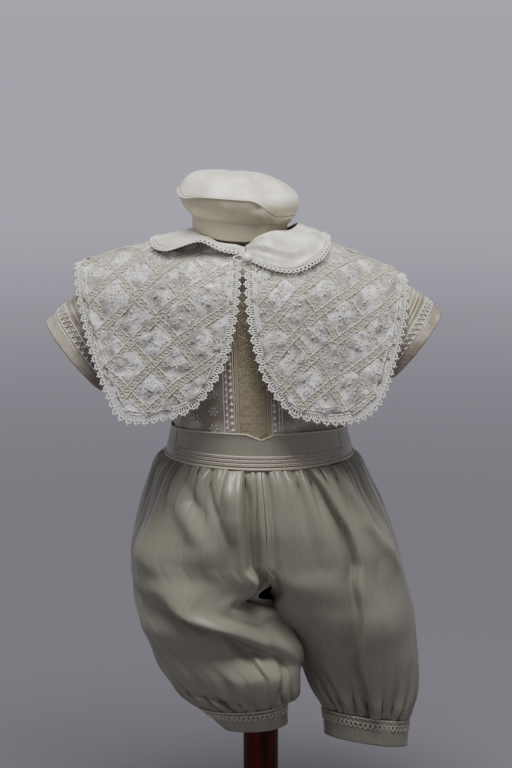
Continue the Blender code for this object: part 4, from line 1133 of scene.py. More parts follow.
@dataclass
class CapePanel:
    """One piece of the cape, with its bands, embroidery and scalloped edging."""

    shape: CapeShape
    name: str
    edge: Sequence[Flat]
    lace_node: str
    trellis: Trellis
    grid_mm: float = 2.4
    cell_mm: float = 31.0
    lace_depth: float = 8.6
    lace_pitch: float = 8.8

    # offset and height across a band; offset, wave, beat and radius of each cord on it
    BAND_SECTION = ((-4.3, 0.0), (-4.0, 0.45), (-2.2, 0.55), (0.0, 0.4), (2.2, 0.55), (4.0, 0.45), (4.3, 0.0))
    BAND_CORDS = ((-3.3, 0.5, 1.95, 0.55), (3.3, 0.5, 1.95, 0.55), (0.0, 1.5, 1.5, 0.3))
    # paths within one scallop of the edging: its share along, and its distance out
    ARCH = (
        (0.08, 0.4), (0.0, 2.6), (0.06, 4.9), (0.25, 7.0), (0.5, 8.3), (0.75, 7.0), (0.94, 4.9), (1.0, 2.6),
        (0.92, 0.4),
    )
    EYE = ((0.3, 0.4), (0.24, 2.4), (0.31, 4.3), (0.5, 5.6), (0.69, 4.3), (0.76, 2.4), (0.7, 0.4))
    BARS = (((0.5, 0.4), (0.5, 8.1)), ((0.33, 4.4), (0.17, 6.4)), ((0.67, 4.4), (0.83, 6.4)))

    def __post_init__(self) -> None:
        """Work out the piece's middle, its side of the shoulders and the runs of its edge."""
        total = Vector((sum(x for x, _ in self.edge), sum(s for _, s in self.edge)))
        self.centre = total / len(self.edge)
        self.down = math.copysign(1.0, total.y)  # 1 for a front piece, -1 for the back
        self.ends = [Vector(end) for end in self.edge]
        self.sides = [(start, self.away(start, end - start)) for start, end in pairwise(self.ends)]

    def away(self, spot: Vector, along: Vector) -> Vector:
        """Flat direction across an edge, out of the piece."""
        along = along.normalized()
        found = Vector((along.y, -along.x))
        return -found if found.dot(self.centre - spot) > 0 else found

    def inside(self, x: float, s: float, inset: float, neck: float) -> bool:
        """Whether a flat place is on the piece.

        Args:
            x: Its place across.
            s: Its place down from the shoulder ridge.
            inset: Least distance inside the edge.
            neck: Least distance outside the neck hole.
        """
        if s * self.down < 0.2 or math.hypot(x - self.shape.middle, s) < self.shape.neck_hole + neck:
            return False
        spot = Vector((x, s))
        return all((spot - start).dot(away) < -inset for start, away in self.sides)

    def build(self) -> None:
        """Make the satin, the bands, the embroidery and the edging."""
        satin, cut = self.satin()
        trims = [self.bands(), self.embroidery(), self.sequins(), self.edging()]
        declare_cloth(satin, cut, trims)

    def satin(self) -> tuple[bpy.types.Object, Cut]:
        """The satin itself, puffed a little between the bands.

        Returns:
            The piece, and the width, length and area of its cut.
        """
        shape = self.shape
        xs, ss = [x for x, _ in self.edge], [s for _, s in self.edge]
        low, high = Vector((min(xs), min(ss))), Vector((max(xs), max(ss)))
        columns = math.ceil((high.x - low.x) / self.grid_mm)
        rows = math.ceil((high.y - low.y) / self.grid_mm)
        bm = flat_grid(columns, rows)
        for vert in bm.verts:
            x = lerp(low.x, high.x, vert.co.x / columns)
            vert.co = Vector((x, lerp(low.y, high.y, vert.co.y / rows), 0.0))
        for start, away in self.sides:
            plane = (start - away * self.lace_depth).to_3d()
            self.trim(bm, plane, away.to_3d())
        self.trim(bm, Vector((0.0, self.down * 0.15, 0.0)), Vector((0.0, -self.down, 0.0)))
        hole = Vector((shape.middle, 0.0, 0.0))
        near = [v for v in bm.verts if (v.co - hole).length < shape.neck_hole]
        bmesh.ops.delete(bm, geom=near, context="VERTS")
        for vert in bm.verts:
            off = vert.co - hole
            if vert.is_boundary and off.length < shape.neck_hole + 1.5 * self.grid_mm:
                vert.co = hole + off.normalized() * shape.neck_hole
        bmesh.ops.remove_doubles(bm, verts=bm.verts[:], dist=0.3)
        cut = lay(
            bm,
            lambda x, s: shape.place(x, s, shape.wall + self.puff(*self.trellis.cell(x, s))),
            lambda x, s: Vector((x, s, 0.0)),
            shape.heart,
        )
        piece = make_piece(f"{self.name}_satin", bm, CAPE_SATIN, Slot.CAPE_SATIN, 1.1, -1.0, [self.name])
        return piece, cut

    def trim(self, bm: bmesh.types.BMesh, spot: Vector, away: Vector) -> None:
        """Cut a flat sheet along a line and clear what lies past it."""
        geom = [*bm.verts, *bm.edges, *bm.faces]
        bmesh.ops.bisect_plane(bm, geom=geom, dist=0.01, plane_co=spot, plane_no=away, clear_outer=True)

    def puff(self, p: float, q: float) -> float:
        """Rise of the satin at a place counted in cells: puffed and puckered between the bands."""
        i, j = math.floor(p), math.floor(q)
        share = (math.sin(math.pi * (p - i)) * math.sin(math.pi * (q - j))) ** 0.5
        mood = wander(i * 1.7, j * 2.3, 5.0)
        crease = wander(p * 2.9 + mood, q * 3.3 - mood, 1.0) + 0.35 * wander(p * 6.5, q * 7.0, mood)
        return share * (1.7 + 0.8 * mood + 1.7 * crease)

    def on_satin(self, p: float, q: float, lift: float) -> Vector:
        """Point above the satin at a place counted in cells."""
        x, s = self.trellis.flat(p, q)
        return self.shape.place(x, s, self.shape.wall + self.puff(p, q) + lift)

    def axes(self, p: float, q: float, lift: float, angle: float) -> Matrix:
        """Axes on the satin, with z out.

        Args:
            p: Place in cells across the first braids.
            q: Place in cells across the second braids.
            lift: Height above the satin.
            angle: Direction of x within the cell.
        """
        spot = self.on_satin(p, q, lift)
        ahead = self.on_satin(p + 0.03 * math.cos(angle), q + 0.03 * math.sin(angle), lift)
        return frame_at(spot, (ahead - spot).normalized(), self.shape.normal(*self.trellis.flat(p, q)))

    def on_piece(self, p: float, q: float, inset: float) -> bool:
        """Whether a place counted in cells is so far inside the piece."""
        return self.inside(*self.trellis.flat(p, q), self.lace_depth + inset, 1.0 + inset)

    def reach(self) -> list[tuple[int, int]]:
        """Lowest and highest cell number in each direction."""
        ways = zip(*[self.trellis.cell(x, s) for x, s in self.edge])
        return [(math.floor(min(places)), math.ceil(max(places))) for places in ways]

    def band_runs(self) -> list[tuple[int, int, list[Vector]]]:
        """Runs of each braid band on the piece.

        Returns:
            For each run its direction, 0 or 1, its line's number, and the places of its middle.
        """
        step = 1.6 / self.cell_mm
        found = []
        for way in (0, 1):
            low, high = self.reach()[way]
            start, end = self.reach()[1 - way]
            for line in range(low, high + 1):
                run: list[Vector] = []
                for i in range(int((end - start) / step) + 2):
                    along = start + i * step
                    waver = line + 0.035 * wander(along * 1.3, line * 3.1, way)
                    p, q = (waver, along) if way == 0 else (along, waver)
                    if self.on_piece(p, q, -0.5):
                        run.append(Vector((*self.trellis.flat(p, q), 0.0)))
                        continue
                    if len(run) > 3:
                        found.append((way, line, run))
                    run = []
                if len(run) > 3:
                    found.append((way, line, run))
        return found

    def bands(self) -> bpy.types.Object:
        """Crossing bands of braid, each with a waved cord along both edges and a zigzag between."""
        shape, whole, cords, profile = self.shape, bmesh.new(), Cords(0), self.BAND_SECTION
        for way, line, run in self.band_runs():
            middles = [shape.place(spot.x, spot.y, shape.wall + 0.15 + 0.25 * way) for spot in run]
            outs = [shape.normal(spot.x, spot.y) for spot in run]
            last = len(run) - 1
            alongs = [middles[min(last, i + 1)] - middles[max(0, i - 1)] for i in range(last + 1)]
            acrosses = [out.cross(along).normalized() for out, along in zip(outs, alongs)]

            def place(off: float, lift: float, i: float) -> Vector:
                """Point beside and above the band's middle, so many steps along it."""
                low = min(last - 1, int(i))
                share = i - low
                spot = middles[low].lerp(middles[low + 1], share)
                return spot + acrosses[low].lerp(acrosses[low + 1], share) * off + outs[low] * lift

            rows = last // 2
            bm = flat_grid(len(profile) - 1, rows)
            lay(
                bm,
                lambda c, r: place(*profile[round(c)], r * last / rows),
                lambda c, r: Vector((profile[round(c)][0], r * 1.6 * last / rows, 0.0)),
                shape.heart,
            )
            join(whole, bm)
            steps = [0.78 * k for k in range(int(last / 0.78) + 1)]
            for base, wave, beat, radius in self.BAND_CORDS:
                phase = 3.0 * wander(line * 1.3, way * 2.2, base)
                cords.run([place(base + wave * math.sin(beat * s + phase), 0.75, s) for s in steps], radius)
        make_piece(f"{self.name}_band_cords", cords.mesh(), CREAM_BRAID, Slot.BEIGE_BRAID)
        return make_piece(f"{self.name}_soutache", whole, SOUTACHE, Slot.BEIGE_BRAID, 0.4, -1.0)

    def cells(self) -> list[tuple[int, int]]:
        """Numbers of the trellis cells whose middles lie on the piece."""
        (low_p, high_p), (low_q, high_q) = self.reach()
        numbers = [(i, j) for i in range(low_p, high_p) for j in range(low_q, high_q)]
        return [(i, j) for i, j in numbers if self.on_piece(i + 0.5, j + 0.5, -3.0)]

    def embroidery(self) -> bpy.types.Object:
        """A flower with leaves, scrolls and seed stitches in every cell, in raised white thread."""
        cords, stitches = Cords(0), Stitches()
        for i, j in self.cells():
            spin = 3.0 * wander(i * 3.3, j * 2.7)
            heart = (i + 0.5 + 0.04 * wander(i * 1.1, j), j + 0.5 + 0.04 * wander(i, j * 1.3))

            def spot(radius: float, angle: float) -> Flat:
                """Place in cells at a distance in millimetres and an angle from the flower's heart."""
                reach = radius / self.cell_mm
                return heart[0] + reach * math.cos(angle), heart[1] + reach * math.sin(angle)

            for k in range(5):
                a = spin + k * 2.0 * math.pi / 5.0
                self.petal(stitches, spot(3.1, a), a, (2.0, 1.3, 0.4))
                round_it = (0.0, 1.3, 2.6, 3.7, 5.0)
                outline = [spot(5.0 + 1.1 * math.cos(b), a + 0.4 * math.sin(b)) for b in round_it]
                self.scroll(cords, outline, 0.32, True)
            for k in range(4):
                a = k * math.pi / 2.0 + 0.785
                if wander(i * 2.3, j * 1.9, k) > 0.45:
                    continue
                corner = spot(10.4, a)
                self.petal(stitches, spot(12.2, a), a, (2.1, 1.0, 0.4))
                for way in (-1.0, 1.0):
                    curl = []
                    for t in range(7):
                        r, b = (3.7 - 0.42 * t) / self.cell_mm, a + math.pi + way * (0.2 + 0.5 * t)
                        curl.append((corner[0] + r * math.cos(b), corner[1] + r * math.sin(b)))
                    self.scroll(cords, curl, 0.36, False)
            for k in range(4):
                a, r = 1.6 * k + spin, 9.4 + 1.5 * wander(i * 3.1, j * 1.7, k)
                bend = 1.0 if k % 2 else -1.0
                vine = [spot(r - 0.75 * t, a + bend * 0.085 * t * (1.0 + 0.12 * t)) for t in range(9)]
                self.scroll(cords, vine, 0.32, False)
            for k in range(6):
                a, r = 2.4 * k + spin, 8.6 + 1.6 * wander(i * 1.7, j * 2.2, k)
                self.petal(stitches, spot(r, a), a, (0.6, 0.6, 0.4))
        return make_piece(f"{self.name}_embroidery", stitches.mesh(cords.mesh()), EMBROIDERY, Slot.WHITE_LACE)

    def petal(self, stitches: Stitches, spot: Flat, angle: float, size: Row) -> None:
        """Add a padded stitch if it lies on the piece.

        Args:
            stitches: Where it is added.
            spot: Its place in cells.
            angle: Its direction within the cell.
            size: Its half sizes.
        """
        if self.on_piece(*spot, 1.0):
            stitches.bead(self.axes(*spot, 0.0, angle), size, 6 if size[0] < 1.0 else 8)

    def scroll(self, cords: Cords, path: Sequence[Flat], radius: float, closed: bool) -> None:
        """Add a cord if all of it lies on the piece.

        Args:
            cords: Where it is added.
            path: Its places in cells.
            radius: Its radius.
            closed: Whether it joins its own start.
        """
        if all(self.on_piece(*spot, 0.5) for spot in path):
            cords.run([self.on_satin(*spot, 0.0) for spot in path], radius, closed)

    def sequins(self) -> bpy.types.Object:
        """Clear sequins, each held by a small bead, and a bead at each flower's heart."""
        stitches = Stitches()
        for i, j in self.cells():
            spots = [(i + 0.5, j + 0.5)]
            for k in range(1 + (i * 5 + j * 3) % 3):
                a = 1.6 * k + 4.0 * wander(i * 1.9, j * 4.3, k)
                r = (8.6 + 2.5 * wander(i * 2.9, j * 1.3, k + 7.0)) / self.cell_mm
                spots.append((i + 0.5 + r * math.cos(a), j + 0.5 + r * math.sin(a)))
            for spot in spots:
                if self.on_piece(*spot, 1.0):
                    stitches.disc(self.axes(*spot, 0.7, 0.0), 1.1, 0.3)
                    stitches.bead(self.axes(*spot, 1.05, 0.0), (0.55, 0.55, 0.5), 6)
        return make_piece(f"{self.name}_sequins", stitches.mesh(), SEQUIN, Slot.PEARL)

    def edge_line(self, inset: float) -> list[tuple[Vector, Vector]]:
        """Places 1 mm apart along the rounded edge, with the outward direction at each."""
        corners = []
        for index, end in enumerate(self.ends):
            before = self.sides[max(0, index - 1)][1]
            after = self.sides[min(len(self.sides) - 1, index)][1]
            middle = (before + after).normalized()
            corners.append(end - middle * inset / max(0.5, middle.dot(after)))
        line: list[Vector] = []
        for index, (one, two) in enumerate(pairwise(corners)):
            previous = corners[index - 1] if index else one * 2.0 - two
            following = corners[index + 2] if index + 2 < len(corners) else two * 2.0 - one
            steps = max(2, round((two - one).length))
            for step in range(steps):
                t = step / steps
                a = -0.5 * t**3 + t**2 - 0.5 * t
                b = 1.5 * t**3 - 2.5 * t**2 + 1.0
                c = -1.5 * t**3 + 2.0 * t**2 + 0.5 * t
                d = 0.5 * t**3 - 0.5 * t**2
                line.append(previous * a + one * b + two * c + following * d)
        line.append(corners[-1])
        around = [line[min(len(line) - 1, i + 2)] - line[max(0, i - 2)] for i in range(len(line))]
        return [(spot, self.away(spot, along)) for spot, along in zip(line, around)]

    def edging(self) -> bpy.types.Object:
        """Guipure edging: a corded heading and a loop with a round eye to each scallop."""
        shape = self.shape
        line = self.edge_line(self.lace_depth)
        steps = Steps([spot for spot, _ in line], self.lace_pitch)
        count = steps.count

        def at(scallop: float, out: float, lift: float) -> Vector:
            """Place within a scallop, by its share along and its distance out."""
            low, index, t = steps.at(scallop)
            spot = line[low][0].lerp(line[index][0], t) + line[index][1] * out
            spot.y = self.down * max(self.down * spot.y, 0.8)
            return shape.place(spot.x, spot.y, shape.wall * 0.5 + lift)

        cords = Cords(1)
        span = count * 3
        cords.run([at(i / 3.0, -2.3, 1.1) for i in range(span + 1)], 0.75)
        cords.run([at(i / 3.0, 0.3, 0.6) for i in range(span + 1)], 0.8)
        cords.run([at(i / 4.0, -1.7 if i % 2 else -0.3, 0.9) for i in range(count * 4 + 1)], 0.5)
        for k in range(count):
            droop = 0.25 * wander(k * 0.9, self.edge[0][0])
            for path, radius in ((self.ARCH, 0.8), (self.EYE, 0.7)):
                cords.run([at(k + t, out, 0.1 + droop * out / 8.0) for t, out in path], radius)
            for bar in self.BARS:
                cords.run([at(k + t, out, 0.2) for t, out in bar], 0.55)
        stitches = Stitches()
        for k in range(count):
            for t, out in ((0.22, 7.5), (0.5, 9.0), (0.78, 7.5)):
                spot = at(k + t, out, 0.1)
                stitches.knot(spot, shape.heart(spot), (0.85, 0.85, 0.75))
        bm = stitches.mesh(cords.mesh())
        return make_piece(f"{self.name}_edging", bm, GUIPURE, Slot.WHITE_LACE, stands_for=[self.lace_node])


@dataclass
class CollarHalf:
    """One half of the turned-down collar, with its picot edging."""

    shape: CapeShape
    side: Side
    edge: Sequence[Row]
    columns: int = 110
    rows: int = 18
    picot: float = 3.4
    picot_pitch: float = 4.2

    # path within one picot: its share along, and its distance from the collar's edge
    ARCH = ((0.12, -2.6), (0.1, -1.2), (0.3, -0.3), (0.5, 0.0), (0.7, -0.3), (0.9, -1.2), (0.88, -2.6))

    def __post_init__(self) -> None:
        """Work out the outer edge."""
        self.outline = Profile(self.edge)

    def flat(self, turn: float, part: float, shift: float = 0.0) -> Flat:
        """Flat place: part 0 is the neckline, 1 the outer edge."""
        radius = lerp(self.shape.neck_hole + 2.0, self.outline.at(turn)[1], part) + shift
        angle = math.radians(turn)
        return self.shape.middle + self.side.value * radius * math.sin(angle), radius * math.cos(angle)

    def lift(self, turn: float, part: float) -> float:
        """How far the collar stands off the cape, with its roll and its soft folds."""
        rolled = 3.0 if self.side is Side.LEFT else 6.5
        rolled *= smooth(turn / 12.0) * smooth((150.0 - turn) / 60.0)
        base = 3.2 + (1.8 + rolled) * (1.0 - part) ** 1.6
        base += 3.5 * part * smooth((120.0 - turn) / 50.0) * smooth(turn / 10.0)
        if self.side is Side.LEFT:
            base += 11.0 * bell(turn - 42.0, 16.0) * part + 1.2 * bell(turn - 68.0, 9.0) * part
        else:
            base += 3.2 * bell(turn - 68.0, 6.0) * part + 2.4 * bell(turn - 47.0, 8.0) * part
            base += 1.6 * bell(turn - 22.0, 8.0) * part + 3.0 * bell(turn - 100.0, 16.0) * part
            near, wide, slant = bell(turn - 26.0, 20.0), bell(turn - 58.0, 30.0), part - turn / 110.0
            base += near * (8.5 * (1.0 - part) - 2.6 * part)
            base += wide * (3.0 * bell(part - 0.64, 0.13) - 2.4 * bell(part - 0.32, 0.17))
            base += near * (1.5 * bell(slant - 0.2, 0.09) - 1.2 * bell(slant - 0.4, 0.09))
        return base + 0.5 * wander(turn * 0.06, part * 1.4, self.side.value) * part

    def place(self, turn: float, part: float, shift: float, extra: float) -> Vector:
        """Place of a collar point, moved out by extra."""
        x, s = self.flat(turn, part, shift)
        return self.shape.place(x, s, self.lift(turn, part) + extra)

    def build(self) -> None:
        """Make the satin and its picots."""
        name = f"collar_{self.side.name.lower()}"
        inset = self.picot + 0.2
        bm = flat_grid(self.columns, self.rows)

        def surface(column: float, row: float) -> Vector:
            """Place of a grid point, with the crown of the stuffed edge."""
            turn, part = lerp(0.15, 179.4, column / self.columns), row / self.rows
            crown = 0.5 * math.sin(math.pi * part)
            return self.place(turn, part, -inset * part, 1.4 + crown)

        def pattern(column: float, row: float) -> Vector:
            """Place of a grid point in the flat cloth."""
            return Vector((column * 2.1, row * 2.0, 0.0))

        cut = lay(bm, surface, pattern, self.shape.heart)
        satin = make_piece(f"{name}_satin", bm, WHITE_SATIN, Slot.WHITE_SATIN, 1.3, -1.0, [name])
        declare_cloth(satin, cut, [self.picots(name)])

    def picots(self, name: str) -> bpy.types.Object:
        """Small loops along the outer edge, a heading cord and a row of knots inside it."""
        cords = Cords(1)
        turns = [lerp(1.2, 179.4, i / 400.0) for i in range(401)]
        steps = Steps([self.place(t, 1.0, -self.picot, 1.2) for t in turns], self.picot_pitch)
        count = steps.count

        def at(step: float, shift: float, extra: float) -> Vector:
            """Place within a picot, by its share along and its distance from the edge."""
            low, index, t = steps.at(step)
            return self.place(lerp(turns[low], turns[index], t), 1.0, shift, extra)

        cords.run([at(i / 2.0, -self.picot + 0.4, 1.1) for i in range(2 * count + 1)], 0.7)
        cords.run([at(i / 2.0, -self.picot - 2.8, 1.9) for i in range(2 * count + 1)], 0.4)
        for k in range(count):
            cords.run([at(k + t, out, 0.9) for t, out in self.ARCH], 0.6)
        stitches = Stitches()
        for k in range(count):
            spot = at(k + 0.5, -self.picot - 1.6, 1.8)
            stitches.knot(spot, self.shape.heart(spot), (0.9, 0.9, 0.7))
        bm = stitches.mesh(cords.mesh())
        return make_piece(f"{name}_picot_loops", bm, GUIPURE, Slot.WHITE_LACE, stands_for=[f"{name}_picot"])


@dataclass
class Cape:
    """The cape's three pieces, the collar's two halves and the neck button."""

    shape: CapeShape = field(default_factory=CapeShape)
    front_left: Sequence[Flat] = (
        (-184, 0), (-181, 32), (-176, 58), (-168.5, 90), (-160, 118), (-150, 146),
        (-137, 176), (-111, 193), (-88, 200), (-72, 201), (-58, 195), (-44, 179),
        (-33, 160), (-25, 131), (-20.5, 102), (-18.3, 56),
    )
    front_right: Sequence[Flat] = (
        (142, 0), (144, 18), (143, 44), (136, 79), (122, 130), (112, 154),
        (95, 176), (66, 199), (37, 208), (22, 202), (6, 184), (-3, 165),
        (-12, 131), (-15.2, 102), (-16.8, 56),
    )
    back_hem: Sequence[Flat] = ((-111, -196), (-72, -208), (-15, -213), (37, -210))
    collar_left: Sequence[Row] = (
        (0, 60), (15, 59), (30, 60), (42, 64), (52, 75), (60, 86), (72, 93),
        (90, 92), (135, 87), (180, 82),
    )
    collar_right: Sequence[Row] = (
        (0, 61), (13, 73), (27, 83), (43, 87), (61, 86), (80, 81), (100, 80),
        (140, 82), (180, 82),
    )

    def build(self) -> None:
        """Make the cape, the collar and the button's loop."""
        left = Trellis(Braid(56.0, 27.0, -84.0), Braid(-25.0, 36.4, -12.1))
        right = Trellis(Braid(41.5, 40.2, 1.9), Braid(-52.5, 22.5, -104.7))
        back = Trellis(Braid(52.0, 31.0, 0.0), Braid(-38.0, 31.0, 0.0))
        ends = [[(x, -s) for x, s in front] for front in (self.front_left[:7], self.front_right[:8])]
        edge = (*ends[0], *self.back_hem, *ends[1][::-1])
        CapePanel(self.shape, "cape_front_left", self.front_left, "cape_lace_front_left", left).build()
        CapePanel(self.shape, "cape_front_right", self.front_right, "cape_lace_front_right", right).build()
        CapePanel(self.shape, "cape_back", edge, "cape_lace_back", back).build()
        CollarHalf(self.shape, Side.LEFT, self.collar_left).build()
        CollarHalf(self.shape, Side.RIGHT, self.collar_right).build()
        self.button()

    def button(self) -> None:
        """Domed pearl button with a rim, and the thread loop that holds it."""
        seat = self.shape.place(self.shape.middle + 1.5, 62.0, 7.2)
        axes = frame_at(seat, EAST, self.shape.normal(self.shape.middle + 1.5, 62.0))
        bm = bmesh.new()
        bmesh.ops.create_uvsphere(bm, u_segments=32, v_segments=16, radius=5.2, matrix=axes)
        inward = axes.inverted()
        for vert in bm.verts:
            local = inward @ vert.co
            local.z = local.z * 0.72 if local.z > 0.0 else local.z * 0.35
            vert.co = axes @ local
        bmesh.ops.create_cone(
            bm, cap_ends=True, segments=16, radius1=1.6, radius2=1.6, depth=3.0,
            matrix=axes @ Matrix.Translation((0.0, 0.0, -2.8)),
        )
        bmesh.ops.recalc_face_normals(bm, faces=bm.faces[:])
        make_piece("neck_button_pearl", bm, PEARL, Slot.PEARL, stands_for=["neck_button"])
        cords = Cords(1)
        loop = [
            axes @ Vector((-6.2 + 7.0 * math.cos(a), 3.4 * math.sin(a), -1.6))
            for a in [math.pi * i / 8.0 for i in range(16)]
        ]
        cords.run(loop, 0.7, True)
        make_piece("neck_button_loop", cords.mesh(), GUIPURE, Slot.WHITE_LACE)


# ------------------------------------------------------------------ knickerbockers
@dataclass
class Waistband:
    """Waistband with its notched, piped top edge, its soutache rows and its lower piping."""

    front: Flat = (-66.0, 62.0)  # turns of the seams
    back: Flat = (62.0, 294.0)
    top: float = 440.0
    foot: float = 411.9
    rows: Sequence[Row] = ((440, -88.5, 84.5, 81), (426, -91.5, 87.5, 82.5), (411.9, -95, 91, 84))

    def __post_init__(self) -> None:
        """Work out the band's sections."""
        self.sections = Profile(self.rows)

    def point(self, turn: float, z: float) -> Vector:
        """Inner side of the band; turn runs from the front to the viewer's right."""
        _, left, right, deep = self.sections.at(z)
        angle = math.radians(turn)
        reach = lerp(-left, right, smooth(0.5 + 2.0 * math.sin(angle)))
        return Vector((reach * math.sin(angle), -deep * math.cos(angle), z))

    def place(self, turn: float, z: float, lift: float) -> Vector:
        """Point moved out from the band, in its own level."""
        normal = directions(self.point, turn, z, 1.0, 1.0)[2]
        normal = Vector((normal.x, normal.y, 0.0)).normalized()
        return self.point(turn, z) + normal * lift

    def notch(self, turn: float) -> float:
        """How far the top edge dips at the middle of the front."""
        return 5.5 * max(0.0, 1.0 - abs(turn) / 9.0) + 1.6 * bell(turn, 26.0)

    def rim(self, turn: float, front: bool) -> float:
        """Height of the top edge, which rises at the front and dips in a notch."""
        rise = 7.5 * max(0.0, math.cos(math.radians(turn))) ** 1.5
        return self.top + rise - self.notch(turn) * front

    def heart(self, spot: Vector) -> Vector:
        """Middle of the body, level with a place."""
        return Vector((0.0, 0.0, spot.z))

    def build(self) -> None:
        """Make the band's two parts, the braids and the pipings."""
        trims = [self.braids(), self.pipings()]
        for name, start, end, columns in (("front", *self.front, 110), ("back", *self.back, 140)):
            rows = 22
            bm = flat_grid(columns, rows)

            def surface(column: float, row: float) -> Vector:
                """Place of a grid point, with a slight pull in the cloth."""
                turn = lerp(start + 0.12, end - 0.12, column / columns)
                share = row / rows
                z = lerp(self.foot, self.rim(turn, name == "front"), share)
                pull = 0.35 * wander(turn * 0.12, share * 1.5) + 0.25 * wander(turn * 0.4, share, 3.0)
                return self.place(turn, z, 1.35 + pull * math.sin(math.pi * share))

            cut = lay(bm, surface, lambda c, r: Vector((c * 1.8, r * 1.3, 0.0)), self.heart)
            node = f"waistband_{name}"
            piece = make_piece(f"{node}_cloth", bm, BAND_DUPIONI, Slot.IVORY_DUPIONI, 1.2, -1.0, [node])
            declare_cloth(piece, cut, trims if name == "front" else ())

    def braids(self) -> bpy.types.Object:
        """Three rows of rose-beige soutache, each two cords with a zigzag over them."""
        cords = Cords(0)
        start, end = self.front[0] + 0.5, self.front[1] - 0.5
        turns = [lerp(start, end, i / 150) for i in range(151)]
        for row, z in enumerate((423.6, 420.0, 416.4)):
            for off in (-0.9, 0.9):
                cords.run([self.place(turn, z + off, 1.9 + 0.1 * row) for turn in turns], 0.62)
            zig = [(lerp(start, end, i / 170.0), 0.95 if i % 2 else -0.95) for i in range(171)]
            cords.run([self.place(turn, z + off, 2.5) for turn, off in zig], 0.42)
        bm = cords.mesh()
        name = "waist_soutache_rows"
        return make_piece(name, bm, PINK_SOUTACHE, Slot.BEIGE_BRAID, stands_for=["waist_braid"])

    def pipings(self) -> bpy.types.Object:
        """Cream piping along the top edge and a thicker one at the foot of the band."""
        cords = Cords(2)
        for start, end, front in ((*self.front, True), (*self.back, False)):
            turns = [lerp(start + 0.3, end - 0.3, i / 120.0) for i in range(121)]
            cords.run([self.place(t, self.rim(t, front), 1.0) for t in turns], 0.95)
        turns = [3.0 * i for i in range(120)]
        cords.run([self.place(t, self.foot + 0.6, 1.5) for t in turns], 1.5, True)
        return make_piece("waist_piping", cords.mesh(), CREAM_CORD, Slot.IVORY_DUPIONI)


class Way(Enum):
    """How a fold runs on a leg."""

    DOWN = 1
    ROUND = 0


@dataclass
class Crease:
    """Fold with a width of its own on each side, so that one side can be steep.

    The path gives column, row and share of the height. The widths are in columns for a fold that
    runs down the leg, and in rows for one that runs round it; before is the lower numbers' side.
    """

    path: Sequence[Row]
    height: float
    before: float
    after: float
    way: Way = Way.DOWN

    def __post_init__(self) -> None:
        """Work out the fold's middle along its run."""
        run, across = self.way.value, 1 - self.way.value
        self.line = Profile(sorted((spot[run], spot[across], spot[2]) for spot in self.path), 0.1)

    def rise(self, column: float, row: float) -> float:
        """Height of the fold at a place."""
        run, across = (row, column) if self.way is Way.DOWN else (column, row)
        _, middle, share = self.line.at(run)
        past = max(self.line.low - run, run - self.line.high, 0.0)
        offset = across - middle
        width = self.before if offset < 0.0 else self.after
        if past > 1.6 or abs(offset) > 2.6 * width:
            return 0.0
        return self.height * share * bell(offset, width) * bell(past, 0.7)


